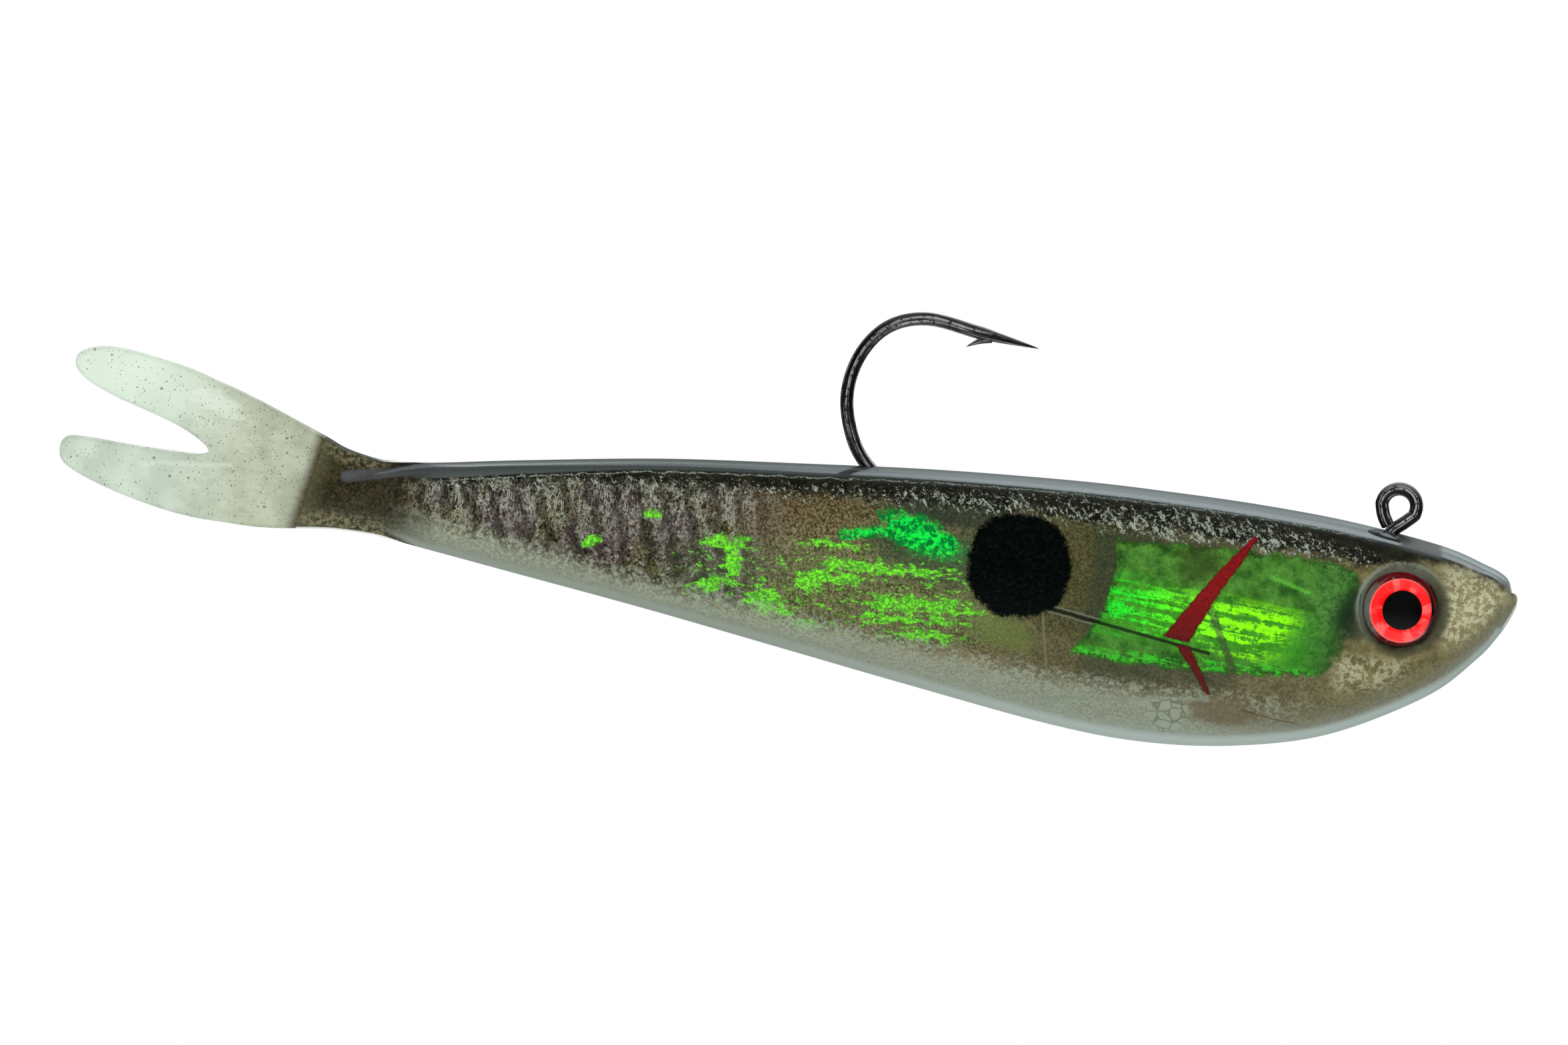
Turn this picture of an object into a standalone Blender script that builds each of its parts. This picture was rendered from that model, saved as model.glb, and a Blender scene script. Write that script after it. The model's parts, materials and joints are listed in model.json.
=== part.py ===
"""A pre-rigged soft-plastic swimbait, 127 mm long, built as its separate pieces.

Frame: the origin is the centre of the line-tie eye on top of the head. +X runs to the nose, +Z is up, and
the body is symmetrical about the XZ plane. The body bends sideways about upright axes behind the hook.
"""

import math

import bmesh
import bpy
from mathutils import Matrix, Vector

MM = 0.001
GAP = 0.3 * MM  # running room between neighbouring pieces
OVERRUN = 2.0 * MM  # how far a cutter runs past the piece that it cuts
CUTTER_TOP = 10.0 * MM
CUTTER_BOTTOM = -30.0 * MM
CUTTER_REACH = 60.0 * MM

# The outer body: place along X, height of the back, height of the belly, half width. It ends at the nose tip.
BODY = [
    (-97.0 * MM, -2.30 * MM, -12.00 * MM, 1.0 * MM),
    (-94.0 * MM, -3.40 * MM, -11.80 * MM, 1.3 * MM),
    (-91.0 * MM, -4.65 * MM, -11.65 * MM, 1.7 * MM),
    (-88.0 * MM, -5.25 * MM, -11.80 * MM, 2.0 * MM),
    (-84.0 * MM, -5.05 * MM, -12.45 * MM, 2.4 * MM),
    (-76.0 * MM, -4.00 * MM, -13.75 * MM, 3.1 * MM),
    (-64.0 * MM, -2.60 * MM, -15.70 * MM, 4.0 * MM),
    (-52.0 * MM, -1.75 * MM, -17.85 * MM, 4.9 * MM),
    (-40.0 * MM, -1.05 * MM, -20.00 * MM, 5.7 * MM),
    (-28.0 * MM, -0.75 * MM, -22.00 * MM, 6.3 * MM),
    (-20.0 * MM, -0.85 * MM, -22.65 * MM, 6.5 * MM),
    (-12.0 * MM, -1.15 * MM, -22.15 * MM, 6.6 * MM),
    (-4.0 * MM, -1.80 * MM, -20.30 * MM, 6.3 * MM),
    (4.0 * MM, -3.05 * MM, -16.20 * MM, 5.1 * MM),
    (8.0 * MM, -4.30 * MM, -12.55 * MM, 3.7 * MM),
    (10.2 * MM, -5.65 * MM, -9.40 * MM, 1.9 * MM),
    (11.0 * MM, -7.30 * MM, -7.30 * MM, 0.0 * MM),
]
WIDEST = 0.42  # share of the height, from the back down, where the body is widest
RING_POINTS = 24

# Upright bending axes, from the hook back to the fork
BODY_HINGE_X = -55.0 * MM
REAR_HINGE_X = -73.0 * MM
TAIL_HINGE_X = -90.0 * MM
LOBE_HINGE_X = -103.9 * MM
HINGE_MARGIN = 0.8 * MM  # the bending socket's radius beyond the body's half width

# Layers of the body, as depths under its surface
SKIN = 1.0 * MM
REAR_SKIN = 0.7 * MM
FILM = 0.3 * MM
FRONT_CORE = SKIN + 3 * GAP + 2 * FILM
MID_CORE = SKIN + 2 * GAP + FILM
REAR_CORE = REAR_SKIN + 2 * GAP + FILM
SPLIT_DEPTH = 2.2 * MM  # the dark back meets the pearl belly this deep under the back,
SPLIT_SHARE = 0.12  # and this share of the body's height deeper
NOSE_INSIDE_X = 9.4 * MM
NOSE_LAST_RING = 1.15  # the skin's last full ring lies this far before the nose tip, counted along BODY
REAR_INSIDE_X = -84.5 * MM

# The mouth: a shallow slit across the nose
MOUTH_PLACE = (10.95 * MM, -6.95 * MM)
MOUTH_SIZE = (1.5 * MM, 6.0 * MM, 0.3 * MM)

# The lead head
LEAD_REAR_X = -15.0 * MM
LEAD_FRONT_X = 7.0 * MM

# Films and marks on the sides
FILM_TOP = 0.14
FILM_BOTTOM = 0.72
FRONT_FILM_X = -28.0 * MM
SPOT_PLACE = (-32.4 * MM, -8.5 * MM)
SPOT_RADIUS = 4.4 * MM
FOIL_EDGES = [  # x and z of the upper edge, then of the lower edge, from the rear to the front
    ((-24.4 * MM, -5.4 * MM), (-27.2 * MM, -15.2 * MM)),
    ((-18.0 * MM, -5.2 * MM), (-19.5 * MM, -16.0 * MM)),
    ((-11.5 * MM, -5.2 * MM), (-12.0 * MM, -16.0 * MM)),
    ((-6.5 * MM, -5.4 * MM), (-6.5 * MM, -15.4 * MM)),
    ((-3.6 * MM, -6.2 * MM), (-3.4 * MM, -12.8 * MM)),
]
SLASH_EDGES = [  # x and z of the rear edge, then of the front edge, from the top to the bottom
    ((-12.7 * MM, -4.0 * MM), (-12.2 * MM, -4.1 * MM)),
    ((-15.9 * MM, -7.6 * MM), (-14.4 * MM, -7.9 * MM)),
    ((-19.4 * MM, -13.2 * MM), (-17.3 * MM, -13.4 * MM)),
    ((-18.2 * MM, -14.3 * MM), (-16.6 * MM, -14.3 * MM)),
    ((-16.3 * MM, -16.6 * MM), (-15.6 * MM, -16.5 * MM)),
    ((-15.0 * MM, -18.0 * MM), (-14.6 * MM, -17.9 * MM)),
]

# The jig hook
WIRE = 1.15 * MM
HOOK_ROOM = WIRE / 2 + GAP
EYE_RING_RADIUS = 1.48 * MM
SHANK_ROUTE = [  # x and z of the wire's middle, from under the eye along the shank
    (-2.2 * MM, -4.75 * MM),
    (-9.0 * MM, -4.95 * MM),
    (-22.0 * MM, -5.00 * MM),
    (-36.0 * MM, -4.95 * MM),
]
BEND_ROUTE = [  # round the bend to where the point starts
    (-42.3 * MM, -4.10 * MM),
    (-45.3 * MM, -2.15 * MM),
    (-47.5 * MM, 0.40 * MM),
    (-48.6 * MM, 4.30 * MM),
    (-47.9 * MM, 8.00 * MM),
    (-45.7 * MM, 10.80 * MM),
    (-42.3 * MM, 11.85 * MM),
    (-37.6 * MM, 11.10 * MM),
]
POINT_TIP = (-32.5 * MM, 10.30 * MM)
BARB_ROOT = (-36.9 * MM, 10.85 * MM)
BARB_TIP = (-38.7 * MM, 9.80 * MM)

# The 3-D eyes, turned about an axis square to the head's surface
EYE_PLACE = (1.0 * MM, -9.0 * MM)
CUP_RADIUS = 3.2 * MM
CUP_BORE = 2.85 * MM
CUP_DEPTH = 1.7 * MM
CUP_FLOOR = 0.4 * MM
CUP_RIM = 0.15 * MM
IRIS_RADIUS = 2.55 * MM
PUPIL_RADIUS = 1.6 * MM
IRIS_THICK = 0.2 * MM
LENS_EDGE = 0.35 * MM
LENS_CROWN = 1.1 * MM
SOCKET_DEPTH = 2.0 * MM
TURN_STEPS = 24

# The tail: flat outlines in x and z
FIN_THICK = 1.3 * MM
FIN_ROUND = 0.35 * MM
WRIST_LOW_X = -97.0 * MM
WRIST_REAR_TOP = (-94.1 * MM, -3.4 * MM)
WRIST_REAR_BOTTOM = (-95.8 * MM, -11.9 * MM)
FIN_BASE = [
    (-94.6 * MM, -3.20 * MM),
    (-97.0 * MM, -2.05 * MM),
    (-100.0 * MM, -0.90 * MM),
    (-103.0 * MM, 0.15 * MM),
    (-103.0 * MM, -11.95 * MM),
    (-100.0 * MM, -12.10 * MM),
    (-96.3 * MM, -12.00 * MM),
]
UPPER_LOBE = [
    (-103.4 * MM, 0.25 * MM),
    (-108.0 * MM, 1.50 * MM),
    (-112.5 * MM, 2.15 * MM),
    (-115.1 * MM, 1.40 * MM),
    (-115.4 * MM, -0.10 * MM),
    (-113.6 * MM, -1.40 * MM),
    (-108.5 * MM, -3.25 * MM),
    (-105.3 * MM, -4.30 * MM),
    (-103.4 * MM, -5.80 * MM),
]
LOWER_LOBE = [
    (-103.4 * MM, -6.35 * MM),
    (-109.0 * MM, -6.20 * MM),
    (-114.2 * MM, -5.80 * MM),
    (-115.8 * MM, -6.50 * MM),
    (-115.8 * MM, -7.90 * MM),
    (-114.2 * MM, -9.20 * MM),
    (-110.0 * MM, -10.65 * MM),
    (-106.5 * MM, -11.55 * MM),
    (-103.4 * MM, -11.93 * MM),
]

SIDES = {"right": -1, "left": 1}


# ---------------------------------------------------------------- scene, materials and small helpers

def clear_scene():
    for leftover in list(bpy.data.objects):
        bpy.data.objects.remove(leftover)


def new_collection(name):
    collection = bpy.data.collections.new(name)
    bpy.context.scene.collection.children.link(collection)
    return collection


def new_material(name, colour, roughness, metallic=0.0, alpha=1.0):
    material = bpy.data.materials.new(name)
    material.use_nodes = True
    shader = material.node_tree.nodes["Principled BSDF"]
    shader.inputs["Base Color"].default_value = (*colour, 1.0)
    shader.inputs["Roughness"].default_value = roughness
    shader.inputs["Metallic"].default_value = metallic
    shader.inputs["Alpha"].default_value = alpha
    material.diffuse_color = (*colour, alpha)
    return material


def add_piece(name, mesh, material, collection):
    """A named object for a mesh, in a collection, shaded smooth where its faces meet gently."""
    piece = bpy.data.objects.new(name, mesh)
    collection.objects.link(piece)
    mesh.materials.append(material)
    mesh.shade_smooth()
    mesh.set_sharp_from_angle(angle=math.radians(35))
    return piece


def mesh_from(name, vertices, faces):
    mesh = bpy.data.meshes.new(name)
    shape = bmesh.new()
    corners = [shape.verts.new(vertex) for vertex in vertices]
    for face in faces:
        shape.faces.new([corners[index] for index in face])
    bmesh.ops.recalc_face_normals(shape, faces=shape.faces)
    shape.to_mesh(mesh)
    shape.free()
    return mesh


def meshed(curve_object):
    """The curve's tube as a welded mesh object; the curve is removed."""
    bpy.context.view_layer.update()
    graph = bpy.context.evaluated_depsgraph_get()
    mesh = bpy.data.meshes.new_from_object(curve_object.evaluated_get(graph))
    shape = bmesh.new()
    shape.from_mesh(mesh)
    bmesh.ops.remove_doubles(shape, verts=shape.verts, dist=0.001 * MM)
    bmesh.ops.recalc_face_normals(shape, faces=shape.faces)
    shape.to_mesh(mesh)
    shape.free()
    mesh.transform(curve_object.matrix_world)
    bpy.data.objects.remove(curve_object)
    return mesh


def boolean(piece, cutter, operation):
    modifier = piece.modifiers.new(f"{operation.lower()} {cutter.name}", "BOOLEAN")
    modifier.operation = operation
    modifier.object = cutter


def cut(piece, *cutters):
    for cutter in cutters:
        boolean(piece, cutter, "DIFFERENCE")


def keep_inside(piece, *cutters):
    for cutter in cutters:
        boolean(piece, cutter, "INTERSECT")


def smooth_route(points, steps):
    """Points along a Catmull-Rom curve through the given ones, with this many steps in each stretch."""
    route = []
    for index in range(len(points) - 1):
        for step in range(steps):
            route.append(catmull_rom(points, index, step / steps))
    route.append(tuple(points[-1]))
    return route


def catmull_rom(points, index, share):
    """The point a share of the way from points[index] to the next, with straight ends."""
    here = Vector(points[index])
    after = Vector(points[index + 1])
    before = Vector(points[index - 1]) if index > 0 else 2 * here - after
    last = Vector(points[index + 2]) if index + 2 < len(points) else 2 * after - here
    return tuple(
        0.5
        * (
            2 * here
            + (after - before) * share
            + (2 * before - 5 * here + 4 * after - last) * share**2
            + (3 * here - before - 3 * after + last) * share**3
        )
    )


# ---------------------------------------------------------------- the body's surface

def body_at(place):
    """(x, back, belly, half width) at a place counted along the BODY list, such as 2.5."""
    index = min(int(place), len(BODY) - 2)
    x, back, belly, half = catmull_rom(BODY, index, place - index)
    return x, back, belly, max(half, 0.0)


def place_of(x):
    """The place along the BODY list that lies at x."""
    low = 0.0
    high = len(BODY) - 1.0
    for _ in range(40):
        middle = (low + high) / 2
        if body_at(middle)[0] < x:
            low = middle
        else:
            high = middle
    return low


def layer_at(x, depth):
    """Back, widest height, belly and half width of the surface this deep under the skin's, at x."""
    _, back, belly, half = body_at(place_of(x))
    widest = back - WIDEST * (back - belly)
    return back - depth, widest, belly + depth, half - depth


def side_width(x, z, depth):
    """Half width of a layer at the height z."""
    back, widest, belly, half = layer_at(x, depth)
    rise = (z - widest) / ((back - widest) if z > widest else (widest - belly))
    return half * math.sqrt(max(1 - rise * rise, 0.0))


def ring(x, depth, angles):
    """Points of a layer's section at x. An angle is counted from the back round the +Y side."""
    back, widest, belly, half = layer_at(x, depth)
    points = []
    for angle in angles:
        rise = (back - widest) if math.cos(angle) > 0 else (widest - belly)
        points.append(Vector((x, half * math.sin(angle), widest + rise * math.cos(angle))))
    return points


def split_angle(x, depth, shift):
    """The angle where a layer's section reaches the split between back and belly, shifted up by shift."""
    back, widest, _, _ = layer_at(x, depth)
    _, outer_back, outer_belly, _ = body_at(place_of(x))
    split = outer_back - SPLIT_DEPTH - SPLIT_SHARE * (outer_back - outer_belly)
    rise = (max(split, widest) + shift - widest) / (back - widest)
    return math.acos(rise)


def spread(low, high, count):
    return [low + (high - low) * index / (count - 1) for index in range(count)]


def whole_ring(x, depth):
    return ring(x, depth, spread(0, 2 * math.pi, RING_POINTS + 1)[:-1])


def back_ring(x, depth):
    angle = split_angle(x, depth, GAP / 2)
    return ring(x, depth, spread(-angle, angle, RING_POINTS // 2))


def belly_ring(x, depth):
    angle = split_angle(x, depth, -GAP / 2)
    return ring(x, depth, spread(angle, 2 * math.pi - angle, RING_POINTS - 4))


def loft(name, rings, tip=None):
    """A closed skin over rings of equal count. Its ends are flat, or the last one runs to a point at tip."""
    count = len(rings[0])
    vertices = [point for one in rings for point in one]
    faces = []
    for row in range(len(rings) - 1):
        for index in range(count):
            after = (index + 1) % count
            start = row * count
            faces.append((start + index, start + after, start + count + after, start + count + index))
    faces.append(tuple(range(count)))
    last = (len(rings) - 1) * count
    if tip is None:
        faces.append(tuple(range(last, last + count)))
    else:
        vertices.append(Vector(tip))
        for index in range(count):
            faces.append((last + index, last + (index + 1) % count, len(vertices) - 1))
    return mesh_from(name, vertices, faces)


def body_loft(name, low_x, high_x, depth, count, section=whole_ring):
    """A layer of the body between two places along X, with rings closer together near the nose."""
    places = spread(place_of(low_x), place_of(high_x), count)
    return loft(name, [section(body_at(place)[0], depth) for place in places])


def side_plate(name, rows, side, depth):
    """A thin plate that follows the body's side at a depth. rows hold (x, z) points, all of one count."""
    columns = len(rows[0])
    vertices = []
    for under in (depth, depth + FILM):
        for row in rows:
            for x, z in row:
                vertices.append(Vector((x, side * side_width(x, z, under), z)))
    layer = len(rows) * columns
    faces = []
    for row in range(len(rows) - 1):
        for column in range(columns - 1):
            corner = row * columns + column
            outer = (corner, corner + 1, corner + columns + 1, corner + columns)
            faces.append(outer)
            faces.append(tuple(index + layer for index in reversed(outer)))
    border = list(range(columns))
    border += [row * columns + columns - 1 for row in range(1, len(rows))]
    border += [(len(rows) - 1) * columns + column for column in range(columns - 2, -1, -1)]
    border += [row * columns for row in range(len(rows) - 2, 0, -1)]
    for index, corner in enumerate(border):
        after = border[(index + 1) % len(border)]
        faces.append((corner, after, after + layer, corner + layer))
    return mesh_from(name, vertices, faces)


# ---------------------------------------------------------------- cutters

def as_cutter(name, mesh):
    cutter = bpy.data.objects.new(name, mesh)
    cutters.objects.link(cutter)
    cutter.hide_render = True
    cutter.display_type = "WIRE"
    return cutter


def socket_radius(hinge_x):
    return body_at(place_of(hinge_x))[3] + HINGE_MARGIN


def bending_socket(name, hinge_x):
    """An upright cylinder about a bending axis, open behind it: what the piece in front leaves free."""
    return upright_prism(name, hinge_x, socket_radius(hinge_x))


def bending_knuckle(name, hinge_x):
    """The same shape a gap smaller: what the piece behind fills."""
    return upright_prism(name, hinge_x, socket_radius(hinge_x) - GAP)


def upright_prism(name, hinge_x, radius):
    """A half disc in front of a bending axis joined to a long box behind it, seen from above."""
    behind = hinge_x - CUTTER_REACH
    outline = [(behind, radius), (behind, -radius)]
    for angle in spread(-math.pi / 2, math.pi / 2, 25):
        outline.append((hinge_x + radius * math.cos(angle), radius * math.sin(angle)))
    top = [Vector((x, y, CUTTER_TOP)) for x, y in outline]
    bottom = [Vector((x, y, CUTTER_BOTTOM)) for x, y in outline]
    return as_cutter(name, loft(name, [bottom, top]))


def slanted_box(name, upper, lower):
    """Everything in front of the slanted line through two points (x, z), seen from the side."""
    slope = (upper[0] - lower[0]) / (upper[1] - lower[1])
    outline = []
    for reach, z in (
        (0.0, CUTTER_TOP),
        (CUTTER_REACH, CUTTER_TOP),
        (CUTTER_REACH, CUTTER_BOTTOM),
        (0.0, CUTTER_BOTTOM),
    ):
        outline.append((upper[0] + slope * (z - upper[1]) + reach, z))
    near_side = [Vector((x, -CUTTER_TOP, z)) for x, z in outline]
    far_side = [Vector((x, CUTTER_TOP, z)) for x, z in outline]
    return as_cutter(name, loft(name, [near_side, far_side]))


# ---------------------------------------------------------------- the hook

def eye_route():
    """The wire from the cut end round the line tie and down its stem, each point as (x, y, z)."""
    route = []
    for degrees in range(232, -31, -20):
        angle = math.radians(degrees)
        side = 0.75 * MM * (degrees + 30) / 262
        route.append((EYE_RING_RADIUS * math.cos(angle), side, EYE_RING_RADIUS * math.sin(angle)))
    route.append((0.50 * MM, -0.25 * MM, -1.65 * MM))
    route.append((-0.50 * MM, -0.20 * MM, -2.65 * MM))
    route.append((-1.30 * MM, -0.05 * MM, -3.80 * MM))
    return route


def hook_route():
    """(x, y, z) and the share of full thickness along the whole wire, from the cut end to the point."""
    wire = [(x, 0.0, z) for x, z in SHANK_ROUTE + BEND_ROUTE]
    route = [(*point, 1.0) for point in eye_route()]
    route += [(*point, 1.0) for point in smooth_route(wire, 3)]
    root = BEND_ROUTE[-1]
    for share in (0.35, 0.7, 0.92):
        x = root[0] + (POINT_TIP[0] - root[0]) * share
        z = root[1] + (POINT_TIP[1] - root[1]) * share
        route.append((x, 0.0, z, 1.0 - share))
    return route


def wire_mesh(name, route, radius):
    curve = bpy.data.curves.new(name, "CURVE")
    curve.dimensions = "3D"
    curve.bevel_depth = radius
    curve.bevel_resolution = 2
    curve.use_fill_caps = True
    spline = curve.splines.new("POLY")
    spline.points.add(len(route) - 1)
    for point, (x, y, z, share) in zip(spline.points, route):
        point.co = (x, y, z, 1.0)
        point.radius = share
    tube = bpy.data.objects.new(name, curve)
    cutters.objects.link(tube)
    return meshed(tube)


def make_hook():
    hook = add_piece("jig_hook", wire_mesh("jig_hook", hook_route(), WIRE / 2), steel, pieces)
    root = Vector((BARB_ROOT[0], 0.0, BARB_ROOT[1]))
    along = Vector((BARB_TIP[0], 0.0, BARB_TIP[1])) - root
    shape = bmesh.new()
    bmesh.ops.create_cone(
        shape, cap_ends=True, segments=8, radius1=0.42 * MM, radius2=0.04 * MM, depth=along.length
    )
    barb = bpy.data.meshes.new("barb")
    shape.to_mesh(barb)
    shape.free()
    barb.transform(Matrix.Translation(root + along / 2) @ along.to_track_quat("Z", "Y").to_matrix().to_4x4())
    boolean(hook, as_cutter("barb", barb), "UNION")
    return hook


def make_hook_room():
    """A thicker copy of the wire: the room that the body and the lead leave round it."""
    wire = [(x, 0.0, z) for x, z in SHANK_ROUTE + BEND_ROUTE[:4]]
    stem = eye_route()[-3:]
    route = [(*point, 1.0) for point in stem] + [(*point, 1.0) for point in smooth_route(wire, 3)]
    return as_cutter("hook_room", wire_mesh("hook_room", route, HOOK_ROOM))


# ---------------------------------------------------------------- body segments

def make_skin(name, low_x, high_x, depth, inside_low_x, inside_high_x, counts):
    """A clear shell: the outer shape less the space inside it. counts are the rings of each."""
    skin = add_piece(name, body_loft(name, low_x, high_x, 0.0, counts[0]), clear_plastic, pieces)
    inside = body_loft(f"{name}_inside", inside_low_x, inside_high_x, depth, counts[1])
    cut(skin, as_cutter(f"{name}_inside", inside))
    return skin


def make_front_skin():
    rear_x = BODY_HINGE_X
    places = spread(place_of(rear_x), len(BODY) - NOSE_LAST_RING, 18)
    rings = [whole_ring(body_at(place)[0], 0.0) for place in places]
    tip_x, _, tip_z, _ = BODY[-1]
    skin = add_piece("front_skin", loft("front_skin", rings, (tip_x, 0.0, tip_z)), clear_plastic, pieces)
    inside = body_loft("front_inside", rear_x - OVERRUN, NOSE_INSIDE_X, SKIN, 14)
    cut(skin, as_cutter("front_inside", inside))
    return skin


def make_core(prefix, low_x, high_x, depth, count):
    """The dark back and the pearl belly inside one segment of the body."""
    back = body_loft(f"{prefix}_back", low_x, high_x, depth, count, back_ring)
    belly = body_loft(f"{prefix}_belly", low_x, high_x, depth, count, belly_ring)
    return [
        add_piece(f"{prefix}_back", back, dark_back, pieces),
        add_piece(f"{prefix}_belly", belly, pearl, pieces),
    ]


def film_rows(low_x, high_x, count):
    """Rows of (x, z) points that cover the body's side from FILM_TOP to FILM_BOTTOM of its height."""
    rows = []
    for x in spread(low_x, high_x, count):
        _, back, belly, _ = body_at(place_of(x))
        rows.append([(x, back - share * (back - belly)) for share in spread(FILM_TOP, FILM_BOTTOM, 6)])
    return rows


def make_films(prefix, low_x, high_x, depth, count):
    rows = film_rows(low_x, high_x, count)
    films = []
    for side, sign in SIDES.items():
        name = f"{side}_{prefix}_film"
        films.append(add_piece(name, side_plate(name, rows, sign, depth), print_film, pieces))
    return films


def disc_rows(place, radius, count):
    """Rows of (x, z) points that cover a disc, squeezed in from a square grid."""
    rows = []
    for across in spread(-1, 1, count):
        row = []
        for up in spread(-1, 1, count):
            x = place[0] + radius * across * math.sqrt(1 - up * up / 2)
            z = place[1] + radius * up * math.sqrt(1 - across * across / 2)
            row.append((x, z))
        rows.append(row)
    return rows


def edge_rows(edges, count):
    """Rows of (x, z) points between pairs of edge points."""
    rows = []
    for first, last in edges:
        rows.append([tuple(Vector(first).lerp(Vector(last), share)) for share in spread(0, 1, count)])
    return rows


def make_marks():
    """The gill foil, gill slash and shoulder spot on each side."""
    for side, sign in SIDES.items():
        foil = side_plate(f"{side}_gill_foil", edge_rows(FOIL_EDGES, 6), sign, SKIN + FILM + 2 * GAP)
        add_piece(f"{side}_gill_foil", foil, green_foil, pieces)
        slash = side_plate(f"{side}_gill_slash", edge_rows(SLASH_EDGES, 2), sign, SKIN + GAP)
        add_piece(f"{side}_gill_slash", slash, red_print, pieces)
        spot = side_plate(f"{side}_shoulder_spot", disc_rows(SPOT_PLACE, SPOT_RADIUS, 6), sign, SKIN + GAP)
        add_piece(f"{side}_shoulder_spot", spot, black_print, pieces)


def make_head_weight():
    """The lead: a full layer of the head, tapering to a blunt nose."""
    rings = [
        whole_ring(body_at(place)[0], FRONT_CORE)
        for place in spread(place_of(LEAD_REAR_X), place_of(LEAD_FRONT_X), 8)
    ]
    return add_piece("head_weight", loft("head_weight", rings), lead, pieces)


def mouth_slit():
    shape = bmesh.new()
    bmesh.ops.create_cube(shape, size=1.0)
    mesh = bpy.data.meshes.new("mouth_slit")
    shape.to_mesh(mesh)
    shape.free()
    place = Matrix.Translation((MOUTH_PLACE[0], 0.0, MOUTH_PLACE[1]))
    mesh.transform(place @ Matrix.Diagonal((*MOUTH_SIZE, 1.0)))
    return as_cutter("mouth_slit", mesh)


# ---------------------------------------------------------------- the eyes

def eye_matrix(sign):
    """Places an eye: its local +Z is square to the head's surface, and its origin lies on that surface."""
    x, z = EYE_PLACE
    step = 0.5 * MM
    here = Vector((x, side_width(x, z, 0.0), z))
    along = Vector((2 * step, side_width(x + step, z, 0.0) - side_width(x - step, z, 0.0), 0.0))
    up = Vector((0.0, side_width(x, z + step, 0.0) - side_width(x, z - step, 0.0), 2 * step))
    outward = up.cross(along).normalized()
    mirror = Vector((1.0, sign, 1.0))
    turn = (outward * mirror).to_track_quat("Z", "Y").to_matrix().to_4x4()
    return Matrix.Translation(here * mirror) @ turn


def turned(name, profile, closed, material, matrix):
    """A piece turned about its local Z from (radius, height) points that run down its outer side."""
    mesh = bpy.data.meshes.new(name)
    edges = [(index, index + 1) for index in range(len(profile) - 1)]
    if closed:
        edges.append((len(profile) - 1, 0))
    mesh.from_pydata([(radius, 0.0, height) for radius, height in profile], edges, [])
    piece = bpy.data.objects.new(name, mesh)
    pieces.objects.link(piece)
    mesh.materials.append(material)
    screw = piece.modifiers.new("turn", "SCREW")
    screw.axis = "Z"
    screw.steps = TURN_STEPS
    screw.render_steps = TURN_STEPS
    screw.use_merge_vertices = True
    screw.merge_threshold = 0.001 * MM
    screw.use_smooth_shade = True
    piece.matrix_world = matrix
    return piece


def make_eye(side, sign):
    matrix = eye_matrix(sign)
    floor = -CUP_DEPTH + CUP_FLOOR
    iris_low = floor + GAP
    iris_high = iris_low + IRIS_THICK
    lens_low = iris_high + GAP
    cup = [
        (0.0, floor),
        (CUP_BORE, floor),
        (CUP_BORE, CUP_RIM),
        (CUP_RADIUS, CUP_RIM),
        (CUP_RADIUS, -CUP_DEPTH),
        (0.0, -CUP_DEPTH),
    ]
    iris_bore = PUPIL_RADIUS + GAP
    iris = [
        (iris_bore, iris_high),
        (IRIS_RADIUS, iris_high),
        (IRIS_RADIUS, iris_low),
        (iris_bore, iris_low),
    ]
    pupil = [(0.0, iris_high), (PUPIL_RADIUS, iris_high), (PUPIL_RADIUS, iris_low), (0.0, iris_low)]
    dome = []
    for degrees in range(0, 91, 18):
        angle = math.radians(degrees)
        height = LENS_EDGE + (LENS_CROWN - LENS_EDGE) * math.cos(angle)
        dome.append((IRIS_RADIUS * math.sin(angle), height))
    lens = dome + [(IRIS_RADIUS, lens_low), (0.0, lens_low)]
    turned(f"{side}_eye_cup", cup, False, red_cup, matrix)
    turned(f"{side}_eye_iris", iris, True, red_foil, matrix)
    turned(f"{side}_eye_pupil", pupil, False, black_print, matrix)
    turned(f"{side}_eye_lens", lens, False, clear_plastic, matrix)


def eye_socket(side, sign):
    """The round recess in the head that an eye is glued into."""
    shape = bmesh.new()
    bmesh.ops.create_cone(
        shape,
        cap_ends=True,
        segments=TURN_STEPS,
        radius1=CUP_RADIUS + GAP,
        radius2=CUP_RADIUS + GAP,
        depth=2 * SOCKET_DEPTH,
    )
    mesh = bpy.data.meshes.new(f"{side}_eye_socket")
    shape.to_mesh(mesh)
    shape.free()
    mesh.transform(eye_matrix(sign))
    return as_cutter(f"{side}_eye_socket", mesh)


# ---------------------------------------------------------------- the tail

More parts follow.
